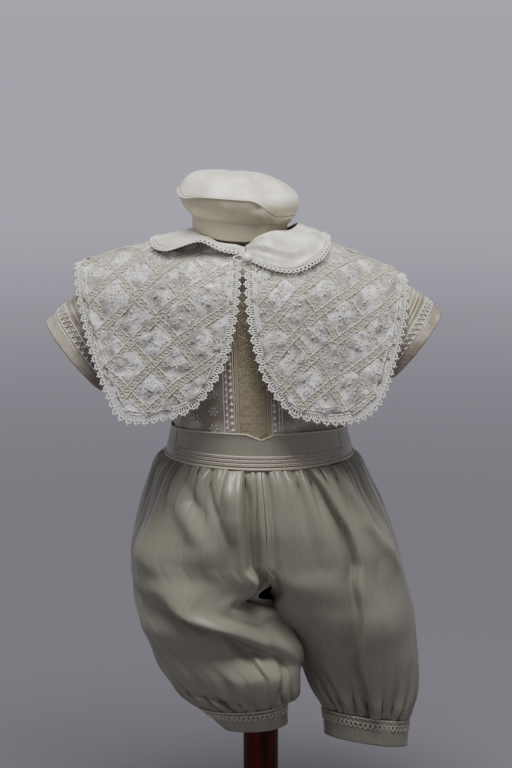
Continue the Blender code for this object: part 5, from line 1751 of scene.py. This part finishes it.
@dataclass
class Leg:
    """One leg of the knickerbockers: front and back panels, gathers and large folds."""

    side: Side
    rows: Sequence[Row]
    gathers: Sequence[float]
    creases: Sequence[Crease]
    hips: Sequence[Row] = (
        (411.3, 0, -95, 91, 84), (400, 1, -104, 100, 92), (380, 3, -113, 110, 99),
        (350, 5, -122, 124, 104), (318, 7, -128, 136, 104),
    )
    half: int = 22
    wall: float = 1.1

    def __post_init__(self) -> None:
        """Join the hip rows to the leg rows."""
        ends = (-90.0, -270.0) if self.side is Side.LEFT else (-90.0, 90.0)
        table = []
        for z, seam, left, right, deep in self.hips:
            reach = seam - left if self.side is Side.LEFT else right - seam
            table.append((z, z, seam, 0.0, reach, deep, 0.0, *ends, 0.0, 0.0))
        table.extend(self.rows)
        self.sections = by_level(table)
        self.swell = by_level([(value,) for value in self.gathers])
        self.last = len(table) - 1

    def rise(self, column: float, v: float) -> float:
        """Rise of the cloth from gathers, large folds and small creases."""
        side = self.side.value
        phase = column + 0.5 * wander(column * 0.37, v * 0.15, side * 3.0)
        uneven = 1.0 + 0.7 * wander(column * 0.55, v * 0.3, side)
        pleat = 2.0 * abs(math.cos(0.5 * math.pi * phase)) ** 0.6 - 1.0
        height = 1.5 * self.swell.at(v)[1] * uneven * pleat
        top = smooth(1.0 - v / 1.2)
        wave = math.cos(2.0 * math.pi * (phase * 1.13 + 0.3))
        height += 1.1 * top * wave * (0.7 + wander(column * 0.8, 2.0))
        foot = smooth((v - self.last + 1.4) / 1.0)
        height += 0.6 * foot * math.cos(2.0 * math.pi * phase * 1.21) * (0.8 + wander(column * 0.7, 6.0))
        height += 1.4 * sum(crease.rise(column, v) for crease in self.creases)
        broad = 1.6 * wander(column * 0.2, v * 0.3, side * 7.0)
        return height + broad + 0.35 * wander(column * 0.6, v * 0.5, side)

    def point(self, column: float, v: float) -> Vector:
        """Inner side of the leg, column 0 at the centre front."""
        _, z_side, z_end, cx, cy, a, b, turn, front, back, slope_x, slope_y = self.sections.at(v)
        whole = 2.0 * self.half
        u = column / whole
        angle = math.radians(lerp(front, back, u))
        end = abs(2.0 * u - 1.0) ** 4
        x, y = a * math.cos(angle), b * math.sin(angle)
        nx, ny = b * math.cos(angle), a * math.sin(angle)
        size = math.hypot(nx, ny)
        calm = smooth(min(column, whole - column) / 1.2)
        seam = 0.9 * bell(column - self.half, 0.16) * smooth(v)
        rise = self.rise(column, v) * calm - seam
        if v < 0.25:
            rise = max(rise, -0.6)
        x, y = x + rise * nx / size, y + rise * ny / size
        x, y = turned(x, y, turn)
        return Vector((cx + x, cy + y, lerp(z_side, z_end, end) + slope_x * x + slope_y * y))

    def heart(self, spot: Vector) -> Vector:
        """Middle of the leg, level with a place."""
        level = min(range(self.last + 1), key=lambda i: abs(self.sections.at(i)[1] - spot.z))
        _, _, _, cx, cy, reach, *_ = self.sections.at(level)
        if level < 6:
            cx += 0.5 * reach * self.side.value
        return Vector((cx, cy, spot.z))

    def build(self) -> None:
        """Make the leg's front and back."""
        for name, start, columns in (("front", 0.0, 160), ("back", float(self.half), 84)):
            node = f"leg_{self.side.name.lower()}_{name}"
            rows = self.last * 8
            bm = flat_grid(columns, rows)

            def surface(column: float, row: float) -> Vector:
                """Place of a grid point of this panel."""
                here = start + lerp(0.02, self.half - 0.02, column / columns)
                return self.point(here, row / 8.0)

            def pattern(column: float, row: float) -> Vector:
                """Place of a grid point in the flat cloth."""
                here = start + self.half * column / columns
                return Vector((here * 15.0, 412.0 - self.sections.at(row / 8.0)[1], 0.0))

            cut = lay(bm, surface, pattern, self.heart)
            piece = make_piece(f"{node}_cloth", bm, DUPIONI, Slot.IVORY_DUPIONI, self.wall, 1.0, [node])
            declare_cloth(piece, cut)


@dataclass
class Cuff:
    """Band that gathers a leg, with a lace braid on its upper half and an overlapped end."""

    side: Side
    rows: Sequence[Row]
    overlap_turn: float
    columns: int = 96
    scallops: int = 56

    # path within one picot: its share along, and its share of the way down the band
    ARCH = ((0.1, 0.22), (0.08, 0.3), (0.3, 0.37), (0.5, 0.4), (0.7, 0.37), (0.92, 0.3), (0.9, 0.22))

    def __post_init__(self) -> None:
        """Work out the band's sections."""
        self.sections = by_level(self.rows)

    def point(self, u: float, v: float) -> Vector:
        """Inner side of the band; u counts columns and v runs down it."""
        _, z, cx, cy, a, b, turn, slope_x, slope_y = self.sections.at(v)
        angle = 2.0 * math.pi * u / self.columns
        x, y = a * math.cos(angle), b * math.sin(angle)
        x, y = turned(x, y, turn)
        return Vector((cx + x, cy + y, z + slope_x * x + slope_y * y))

    def place(self, u: float, v: float, lift: float) -> Vector:
        """Point moved out from the band."""
        normal = -directions(self.point, u, min(0.95, max(0.05, v)), 0.5, 0.04)[2]
        return self.point(u % self.columns, v) + normal * lift

    def heart(self, spot: Vector) -> Vector:
        """Middle of the cuff."""
        return Vector((self.rows[0][1], self.rows[0][2], spot.z))

    def build(self) -> None:
        """Make the band and its lace."""
        name = f"cuff_{self.side.name.lower()}"
        rows = 16
        bm = flat_grid(self.columns, rows)

        def surface(column: float, row: float) -> Vector:
            """Place of a grid point, with creases and the step of the overlap."""
            u, v = column % self.columns, row / rows
            crease = 0.5 * wander(u * 0.16, v * 2.0, self.side.value) + 0.35 * wander(u * 0.5, v, 4.0)
            step = 0.9 * smooth((u - self.overlap_turn) / 0.8) * smooth((self.overlap_turn + 9.0 - u) / 6.0)
            return self.place(u, v, 1.35 + crease * math.sin(math.pi * min(1.0, v * 1.2)) + step)

        cut = lay(bm, surface, lambda c, r: Vector((c * 2.5, r * 1.6, 0.0)), self.heart)
        piece = make_piece(f"{name}_cloth", bm, DUPIONI, Slot.IVORY_DUPIONI, 1.2, -1.0, [name])
        declare_cloth(piece, cut, [self.lace(name)])

    def lace(self, name: str) -> bpy.types.Object:
        """Braid with small picots down its lower edge."""
        cords = Cords(1)
        ring = range(self.columns)
        for v, lift, radius in ((0.03, 2.2, 0.8), (0.2, 2.2, 0.7)):
            cords.run([self.place(u, v, lift) for u in ring], radius, True)
        step = self.columns / self.scallops
        zig = [(i * step / 2.0, 0.17 if i % 2 else 0.06) for i in range(self.scallops * 2)]
        cords.run([self.place(u, v, 2.5) for u, v in zig], 0.5, True)
        for k in range(self.scallops):
            cords.run([self.place((k + t) * step, v, 2.1) for t, v in self.ARCH], 0.55)
        bm = cords.mesh()
        return make_piece(f"{name}_lace_braid", bm, CUFF_LACE, Slot.WHITE_LACE, stands_for=[f"{name}_lace"])


@dataclass
class Knickerbockers:
    """Gathered knickerbockers: waistband, two legs and two cuffs.

    A leg's row gives the height at the side and at the inner end, the middle's x and y, the half width
    and depth, the turn of its oval, the turns of its front and back ends, and its slope to x and y. A
    cuff's row gives the same without the inner end and the turns of the ends.
    """

    gathers: Row = (1.3, 2.1, 1.1, 0.5, 0.2, 0.1, 0.1, 0.1, 0.2, 0.5, 1.2, 1.9, 1)
    cuff_left: Sequence[Row] = (
        (168.2, -20, -59, 44, 30, -6, 0.04, 0), (146.5, -7, -59, 33, 27.5, -6, 0.04, 0),
    )
    cuff_right: Sequence[Row] = (
        (142.2, 107, -22, 42.5, 36, 0, -0.16, -0.22), (115, 107.5, -24, 41.5, 35, 0, -0.16, -0.22),
    )
    left_rows: Sequence[Row] = (
        (292, 299, -36, -5, 93, 98, 0, -61, -299, 0, 0),
        (270, 286, -48, -19, 79, 86, 0, -55, -312, 0, 0),
        (248, 272, -51, -41, 70, 64, -8, -9, -316, 0, 0),
        (226, 252, -42, -56, 71, 42, -14, 6, -324, 0, 0),
        (205, 222, -33, -60, 74, 44, -20, 29, -331, 0, 0),
        (188, 194, -27, -60, 65, 41, -20, 29, -331, 0, 0),
        (177, 179, -23, -60, 56, 36, -14, 29, -331, 0, 0),
        (168.6, 168.6, -20, -59, 44, 30, -6, 29, -331, 0.04, 0),
    )
    right_rows: Sequence[Row] = (
        (292, 299, 45, 0, 98, 98, 0, -111, 111, 0, 0),
        (270, 286, 62, -2, 87, 84, 0, -128, 134, 0, 0),
        (248, 272, 76, -4, 77, 72, 0, -147, 157, 0, 0),
        (226, 252, 88, -6, 68, 62, 0, -163, 163, 0, 0),
        (205, 214, 98, -10, 61, 54, 0, -180, 180, -0.04, 0),
        (185, 190, 102, -14, 58, 49, 0, -180, 180, -0.08, -0.05),
        (167, 169, 104.5, -17, 54, 45, 0, -180, 180, -0.12, -0.12),
        (154, 155, 106, -20, 48, 41, 0, -180, 180, -0.14, -0.18),
        (142.6, 142.6, 107, -22, 42.5, 36, 0, -180, 180, -0.16, -0.22),
    )
    back_creases: Sequence[Crease] = (
        Crease(((26, 1, 0.4), (26.6, 3, 1), (27.8, 9, 0.6)), 4.5, 0.5, 2.2),
        Crease(((31, 0.5, 0.5), (31.8, 3.5, 1), (31, 8, 0.5)), 4, 1.8, 0.4),
        Crease(((35, 1, 0.6), (34.5, 4, 1), (34, 7, 0.4)), -3, 0.9, 1.3),
        Crease(((38, 1, 0.5), (37.5, 4, 1), (37, 9, 0.6)), 4, 0.4, 2),
        Crease(((41.5, 0.5, 0.6), (41, 3, 1), (40, 6, 0.4)), 3, 1.2, 0.6),
        Crease(((24, 6.6, 0.4), (29, 7.4, 1), (36, 7, 0.8), (40, 6.2, 0.3)), 3.5, 1.1, 0.2, Way.ROUND),
        Crease(((28, 9, 0.7), (29, 11, 1)), -2.4, 0.5, 0.9),
        Crease(((34, 9.3, 0.7), (33, 11, 1)), -2.4, 0.9, 0.5),
        # fullness at the inner back, which closes the crotch behind
        Crease(((41, 4.8, 0.5), (41, 6.4, 1), (41, 8.6, 0.5)), 9, 2.5, 1.4),
    )
    left_creases: Sequence[Crease] = (
        # the front fold that laps over the fly, and the hollow beside it
        Crease(((2.8, 0, 0.5), (2.7, 1.8, 1), (2.6, 2.6, 1), (2.5, 3.4, 1), (2.2, 4.4, 1), (1.8, 5.4, 0.9),
            (1.5, 6.5, 0.4)), 6, 0.18, 2.4),
        Crease(((2.4, 0.2, 0.5), (2.3, 1.8, 1), (2.2, 2.6, 1), (2.1, 3.4, 1), (1.8, 4.4, 0.9),
            (1.4, 5.2, 0.4)), -7.5, 1.6, 0.15),
        # the puff beside it, its far edge, and the dent and highlight beyond
        Crease(((3.8, 0.7, 0.2), (3.7, 1.5, 1), (3.6, 2.3, 0.8)), 5.6, 1.1, 1.3),
        Crease(((7.6, 0.2, 0.8), (6.2, 1.9, 1), (4.8, 2.6, 0.9), (3.6, 3.3, 0.5)), -2.4, 0.5, 0.6),
        Crease(((11, 2, 0.6), (8.6, 2.7, 1), (6.6, 3.4, 0.6)), 5, 1.4, 1.6),
        Crease(((10.8, 1.2, 0.8), (9, 1.9, 1), (7.4, 2.4, 0.6)), -2.4, 0.8, 0.9),
        Crease(((14.5, 0.8, 0.6), (14, 3, 1), (13, 4.4, 0.5)), 2.6, 1.6, 1.6),
        Crease(((18, 0.8, 0.6), (17.6, 2.6, 1), (17, 4.4, 0.5)), -2.2, 1, 1),
        # the sag over the knee: full above the line, hollow below it
        Crease(((19.5, 4.9, 0.3), (16.2, 5.2, 0.7), (12, 5.35, 0.9), (10.2, 5.85, 1), (8.6, 6.6, 1),
            (7.2, 7.4, 1), (4.8, 8.2, 0.9), (1.4, 8.9, 0.6)), 6.2, 1.5, 0.32, Way.ROUND),
        Crease(((18.5, 5.3, 0.2), (16.2, 5.6, 0.7), (12, 5.8, 1), (10.2, 6.3, 1), (8.6, 7, 1),
            (7.2, 7.7, 1), (4.8, 8.4, 0.9), (1.4, 9, 0.5)), -6.2, 0.4, 1.2, Way.ROUND),
        # folds up from the cuff
        Crease(((8.2, 7.9, 0.7), (9.2, 8.8, 1), (9.8, 10.4, 1)), -3, 0.4, 1),
        Crease(((5.4, 8.5, 0.7), (6.6, 9, 1), (7.8, 10.2, 1)), -3, 0.9, 0.4),
        Crease(((2.6, 9, 0.8), (3.4, 10.6, 1)), 3.2, 1.4, 1.6),
        Crease(((13.4, 8.8, 0.5), (12.6, 9.6, 1), (11.8, 10.6, 1)), -2.6, 0.5, 1.2),
        Crease(((16.5, 8.6, 0.4), (16, 9.8, 1), (15, 11, 1)), -2.4, 1, 0.5),
        Crease(((19, 10.2, 0.6), (16, 10.4, 1), (13.4, 10.8, 0.6)), -2, 0.35, 0.25, Way.ROUND),
        Crease(((0.5, 7.1, 0.8), (2, 6.8, 1), (4, 6.8, 0.4)), 5, 0.25, 0.7, Way.ROUND),
        Crease(((0.4, 6.3, 1), (1.6, 6.1, 1), (2.8, 6, 0.4)), -8, 0.5, 0.35, Way.ROUND),
        # fullness under the hip
        Crease(((4, 3.95, 0.25), (7, 3.95, 0.65), (11, 3.95, 1.15), (14.5, 3.95, 1.25), (17.5, 3.95, 0.5),
            (21, 3.95, 0)), 6.4, 0.95, 0.55, Way.ROUND),
    )
    right_creases: Sequence[Crease] = (
        # the fly seam and the gathers beside it
        Crease(((0.8, 0.2, 0.8), (0.7, 1.8, 1), (0.6, 4.4, 0.9)), -3.6, 0.7, 0.5),
        Crease(((2.4, 0.3, 1), (2.6, 1.6, 0.9), (2.8, 3, 0.3)), 2.4, 0.8, 1),
        Crease(((4.4, 0.3, 1), (4.8, 1.4, 1), (5, 2.4, 0.2)), -1.8, 0.5, 0.6),
        Crease(((5.6, 1.4, 0.7), (6.4, 2.6, 1), (7.4, 4.2, 0.5)), 1.8, 1.2, 1.4),
        # the long pleat down the leg
        Crease(((7.4, 0, 0.4), (8.2, 1.3, 0.9), (9, 2.2, 1), (9.9, 3, 1), (10, 3.7, 1), (10, 4.6, 1),
            (10.2, 6.1, 1), (10.9, 8.1, 1), (11.5, 11.1, 0.9), (11.7, 12.7, 0.6)), 4.6, 0.2, 2.2),
        Crease(((7, 0.4, 0.5), (7.6, 1.3, 1), (8.5, 2.2, 1), (9.2, 3, 1), (9.4, 4, 1), (9.4, 6.1, 1),
            (10.1, 8.1, 1.1), (10.7, 11.1, 1), (10.9, 12.7, 0.5)), -3.6, 1.3, 0.5),
        Crease(((11.6, 0.5, 0.7), (12, 1.6, 1), (13, 2.6, 0.7)), 5.4, 0.9, 1.3),
        # level front below the hip
        Crease(((1.5, 5, 0.2), (5, 5, 0.8), (11, 5, 1), (15, 5, 0.8), (19, 5, 0.2)), -3.2, 1, 1.1, Way.ROUND),
        Crease(((13, 2.9, 0.7), (15.4, 3.8, 1), (18, 4.9, 0.4)), 2.6, 1.2, 1.2),
        Crease(((13, 4.6, 0.6), (14, 6.2, 1), (15, 8, 0.4)), -1.8, 1.6, 1.8),
        Crease(((16, 0.5, 0.6), (17, 2.2, 1), (18.4, 3.4, 0.4)), -2.4, 0.9, 1),
        Crease(((8.2, 8.8, 0.5), (8.5, 10.2, 1), (8.8, 12.4, 1)), -2.8, 0.4, 0.9),
        Crease(((5, 9.8, 0.4), (5.3, 11.2, 1), (5.6, 12.6, 1)), -2, 0.8, 0.4),
        Crease(((14.6, 9.6, 0.4), (14.2, 11.2, 1), (13.8, 12.6, 1)), -2.2, 0.5, 0.9),
        Crease(((17.6, 10, 0.4), (17.2, 11.4, 1), (16.6, 12.6, 1)), -2.2, 0.9, 0.5),
        Crease(((19, 5, 0.6), (19.4, 8, 1), (19, 11, 0.5)), 2.2, 1.6, 1.2),
        # fullness under the hip, and the inner side pressed against the other leg
        Crease(((6, 3.95, 0.3), (9, 3.95, 0.7), (12, 3.95, 1), (16, 3.95, 1.3), (19, 3.95, 0.8)),
            2.8, 0.95, 1.2, Way.ROUND),
        Crease(((2.6, 5.2, 0.5), (2.6, 6.6, 1), (2.6, 8, 0.7)), 6, 1.6, 2.2),
        Crease(((2, 7.4, 0.6), (8, 7.4, 1), (13, 7.4, 0.9), (18, 7.4, 0.2)), 11, 2.6, 2.8, Way.ROUND),
    )

    def build(self) -> None:
        """Make the waistband, then each leg with its cuff."""
        longer = (*self.gathers[:8], 0.1, *self.gathers[8:])
        Cuff(Side.LEFT, self.cuff_left, 58.0).build()
        Cuff(Side.RIGHT, self.cuff_right, 76.0).build()
        Waistband().build()
        Leg(Side.LEFT, self.left_rows, self.gathers, (*self.left_creases, *self.back_creases)).build()
        Leg(Side.RIGHT, self.right_rows, longer, (*self.right_creases, *self.back_creases)).build()


# ------------------------------------------------------------------ beret
class Ring(Enum):
    """The beret's rings from the top down."""

    RIM = "rim"
    TOP = "top of the band"
    FOOT = "foot of the band"


@dataclass
class Beret:
    """Puffed crown, side panel and band, with piping along the rim's left and front."""

    columns: int = 132
    middle_x: float = -22.0
    band_x: float = -21.0
    rim_radius: float = 60.0
    rim_z: float = 666.0
    crown_z: float = 692.5
    roll: Sequence[Row] = (
        (0, 0, 692.5), (0.28, 23, 689.5), (0.46, 38, 683.5), (0.64, 51, 675.5), (0.78, 57.8, 668.5),
        (0.9, 59.6, 660), (1, 56, 651),
    )
    band_radius: float = 47.0
    wall: float = 1.3

    def __post_init__(self) -> None:
        """Work out the section of the rolled side."""
        self.section = Profile(self.roll, 0.02)

    def open_rim(self, turn: float) -> Flat:
        """Radius and height of the rim as if it rolled over nowhere."""
        angle = math.radians(turn)
        left = (turn + 180.0) % 360.0 - 180.0
        radius = self.rim_radius + 0.8 * math.sin(5.0 * angle + 0.6) + 0.5 * math.sin(9.0 * angle)
        wave = 1.8 * smooth((math.cos(angle) + 0.6) / 0.6) - 5.0 * bell(left + 60.0, 17.0)
        wave += 1.5 * math.cos(angle) + 1.2 * math.sin(3.0 * angle + 0.4)
        return radius, self.rim_z - 7.0 * math.sin(angle) + wave

    def ring(self, turn: float, which: Ring) -> Vector:
        """Place on one of the beret's rings; turn runs from the front to the viewer's right."""
        angle = math.radians(turn)
        side, front = math.sin(angle), math.cos(angle)
        if which is Ring.RIM:
            radius, z = self.open_rim(turn)
            _, rolled_radius, rolled_z = self.section.at(1.0)
            radius, z = lerp(radius, rolled_radius, self.rolled(turn)), lerp(z, rolled_z, self.rolled(turn))
            return Vector((self.middle_x + radius * side, -radius * front, z))
        if which is Ring.TOP:
            z = 647.0 - 4.5 * side + 1.0 * front - 2.2
            return Vector((self.band_x + self.band_radius * side, -(self.band_radius + 1.0) * front, z))
        foot = 638.2 - 1.0 * side - 8.0 * max(0.0, front) ** 1.5 - 2.4
        return Vector((self.band_x + (self.band_radius - 0.5) * side, -self.band_radius * front, foot))

    def rolled(self, turn: float) -> float:
        """How softly the rim rolls over: 0 at the piped left and front, 1 at the right."""
        angle = (turn + 180.0) % 360.0 - 180.0
        return smooth((angle - 10.0) / 34.0) * smooth((176.0 - angle) / 40.0)

    def crown(self, u: float, v: float) -> Vector:
        """Crown: v 0 is its middle and 1 its rim; the left side stands up."""
        turn = 360.0 * u / self.columns
        angle = math.radians(turn)
        radius, rim_z = self.open_rim(turn)
        _, rolled_radius, rolled_z = self.section.at(min(1.0, abs(v)))
        out = lerp(radius * v, math.copysign(rolled_radius, v), self.rolled(turn))
        power = 3.6 - 1.6 * math.sin(angle) + 1.6 * max(0.0, -math.sin(angle)) ** 2
        spot = Vector((self.middle_x + 1.0 - v + out * math.sin(angle), -out * math.cos(angle), 0.0))
        spot.z = lerp(rim_z + (self.crown_z - rim_z) * (1.0 - abs(v) ** power), rolled_z, self.rolled(turn))
        sag = 1.4 * math.sin(3.0 * angle + 1.1) + 0.9 * math.sin(7.0 * angle)
        spot.z += sag * 4.0 * v * v * (1.0 - v)
        spot.z += 0.8 * wander(math.cos(angle) * v * 2.2, math.sin(angle) * v * 2.2) * (1.0 - v**4)
        near = smooth((v - 0.72) / 0.28) * (1.0 - v)
        spot.z += 5.0 * near * (0.35 * wander(turn * 0.11, 2.0) + 0.2 * wander(turn * 0.3, 5.0))
        return spot

    def side(self, u: float, v: float) -> Vector:
        """Side panel: v 0 is the rim and 1 the top of the band."""
        turn = 360.0 * u / self.columns
        out = outward(turn)
        spot = (self.ring(turn, Ring.RIM) + Vector((0.0, 0.0, -0.5))).lerp(self.ring(turn, Ring.TOP), v)
        swell = (2.6 + 1.6 * wander(turn * 0.035, 1.0)) * math.sin(math.pi * min(1.0, max(0.0, v))) ** 0.8
        swell = lerp(swell, 4.0 * v * max(0.0, 1.0 - v), self.rolled(turn))
        pleats = 1.0 * wander(turn * 0.1, v * 1.2, 3.0) * math.sin(math.pi * v)
        pucker = 1.8 * bell(((turn + 180.0) % 360.0 - 180.0) - 20.0 + 14.0 * v, 4.5) * bell(v - 0.2, 0.22)
        return spot + out * (swell + pleats - pucker)

    def band(self, u: float, v: float) -> Vector:
        """Band: v 0 is its top and 1 its foot, with a lapped end at the viewer's right."""
        turn = 360.0 * u / self.columns
        out = outward(turn)
        lap = 0.9 * smooth((turn - 62.0) / 1.5) * smooth((92.0 - turn) / 24.0)
        soft = 0.3 * wander(turn * 0.05, v, 8.0) * math.sin(math.pi * v)
        spot = self.ring(turn, Ring.TOP).lerp(self.ring(turn, Ring.FOOT), v)
        return spot + out * (lap + soft)

    def heart(self, spot: Vector) -> Vector:
        """Middle of the beret, a little below the crown."""
        return Vector((self.middle_x, 0.0, min(spot.z, 668.0) if spot.z > 660.0 else spot.z))

    def build(self) -> None:
        """Make the crown, the side panel, the band and the piping."""
        parts = (
            ("beret_crown_top", self.crown, 44, 62.0),
            ("beret_crown_side", self.side, 26, 24.0),
            ("beret_band", self.band, 16, 17.0),
        )
        piping = self.piping()
        for name, surface, rows, deep in parts:
            bm = flat_grid(self.columns, rows)

            def shaped(column: float, row: float) -> Vector:
                """Place of a grid point of this part."""
                return surface(column % self.columns, row / rows)

            def pattern(column: float, row: float) -> Vector:
                """Place of a grid point in the flat cloth."""
                return Vector((column * 360.0 / self.columns, row / rows * deep, 0.0))

            cut = lay(bm, shaped, pattern, self.heart)
            piece = make_piece(f"{name}_satin", bm, BERET_SATIN, Slot.WHITE_SATIN, self.wall, -1.0, [name])
            if name == "beret_crown_top":
                cut = (2.0 * self.rim_radius + 6.0, 2.0 * self.rim_radius + 6.0, cut[2])
            trims = [piping] if name == "beret_crown_top" else ()
            declare_cloth(piece, cut, trims)

    def piping(self) -> bpy.types.Object:
        """Fine self piping along the rim, which dies away where the rim rolls over."""
        cords = Cords(1)
        cords.run([self.ring(turn, Ring.RIM) + outward(turn) * 0.5 for turn in range(-168, 24, 3)], 0.95)
        cords.run([self.ring(turn, Ring.TOP) + UP * 0.3 for turn in range(0, 360, 3)], 0.5, True)
        return make_piece("beret_piping", cords.mesh(), BERET_SATIN, Slot.WHITE_SATIN)


# ------------------------------------------------------------------ stand and studio
@dataclass
class Stand:
    """Dress form, post and base, kept as they are and given their finishes."""

    def build(self, nodes: dict[str, bpy.types.Object]) -> None:
        """Dress the kept nodes.

        Args:
            nodes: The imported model's nodes.
        """
        for name, finish in (("form_torso", JERSEY), ("post", STAINED_WOOD), ("base", STAINED_WOOD)):
            mesh = nodes[name].data
            mesh.materials.clear()
            mesh.materials.append(finish.material())
            log.info("%s: kept, %s", name, finish.name)


@dataclass
class Studio:
    """Floor, lights, background and camera."""

    target: Vector = field(default_factory=lambda: Vector((-0.005, 0.0, 0.480)))
    distance: float = 1.9
    elevation: float = 11.0
    focal_px: float = 1900.0
    long_side_px: float = 768.0
    sensor_mm: float = 36.0

    def build(self) -> None:
        """Set everything up."""
        self.floor()
        self.background()
        spot = Vector((0.1, -0.38, 1.35))
        key = self.light("key", "AREA", spot - self.target, 6.8, "#fffcf6", shape="DISK", size=0.45)
        key.location, key.visible_camera = spot, False
        self.light("top", "SUN", Vector((-0.1, -0.15, 1.0)), 2.0, "#ffffff", angle=math.radians(30.0))
        self.camera()

    def floor(self) -> None:
        """Wide plain floor."""
        bm = bmesh.new()
        bmesh.ops.create_grid(bm, x_segments=2, y_segments=2, size=400.0)
        mesh = bpy.data.meshes.new("studio_floor")
        bm.to_mesh(mesh)
        bm.free()
        mesh.materials.append(FLOOR.material())
        floor = bpy.data.objects.new("studio_floor", mesh)
        bpy.context.scene.collection.objects.link(floor)

    def background(self) -> None:
        """Cool-grey surround, brighter along the horizon than overhead."""
        world = bpy.data.worlds.new("surround")
        world.use_nodes = True
        tree = world.node_tree
        where = add_node(tree, "TexCoord").outputs["Generated"]
        place = add_node(tree, "SeparateXYZ", {0: where}).outputs[2]
        lift = add_node(tree, "MapRange", {"Value": place, "From Min": 0.04, "From Max": 0.3}).outputs[0]
        values = {"Factor": lift, "A": linear("#b4b1be"), "B": linear("#77777d")}
        colour = add_node(tree, "Mix", values, data_type="RGBA")
        tree.links.new(colour.outputs["Result"], tree.nodes["Background"].inputs["Color"])
        bpy.context.scene.world = world

    def light(
        self, name: str, kind: str, toward: Vector, power: float, colour: str, **settings: str | float
    ) -> bpy.types.Object:
        """Add a light.

        Args:
            name: Its name.
            kind: Its type in Blender.
            toward: Direction from the suit to the light.
            power: Its power, in watts, or its strength if it is a sun.
            colour: Its sRGB colour.
            settings: Its own properties.

        Returns:
            The light's object.
        """
        light = bpy.data.lights.new(name, kind)
        light.energy, light.color = power, linear(colour)[:3]
        for key, value in settings.items():
            setattr(light, key, value)
        holder = bpy.data.objects.new(name, light)
        holder.rotation_euler = toward.to_track_quat("Z", "Y").to_euler()
        bpy.context.scene.collection.objects.link(holder)
        return holder

    def camera(self) -> None:
        """Long lens, a little above the suit."""
        lens = bpy.data.cameras.new("camera")
        lens.sensor_width = self.sensor_mm
        lens.lens = self.sensor_mm * self.focal_px / self.long_side_px
        lens.clip_end = 2000.0
        camera = bpy.data.objects.new("camera", lens)
        lift = math.radians(self.elevation)
        back = Vector((0.0, -math.cos(lift), math.sin(lift)))
        camera.location = self.target + back * self.distance
        camera.rotation_euler = (-back).to_track_quat("-Z", "Y").to_euler()
        bpy.context.scene.collection.objects.link(camera)
        bpy.context.scene.camera = camera


def main() -> None:
    """Build the suit on its stand."""
    logging.basicConfig(level=logging.INFO, format="%(relativeCreated)6d %(name)s %(message)s")
    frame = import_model()
    Studio().build()
    Stand().build(frame["nodes"])
    Shirt().build()
    Cape().build()
    Knickerbockers().build()
    Beret().build()


if __name__ == "__main__":
    main()
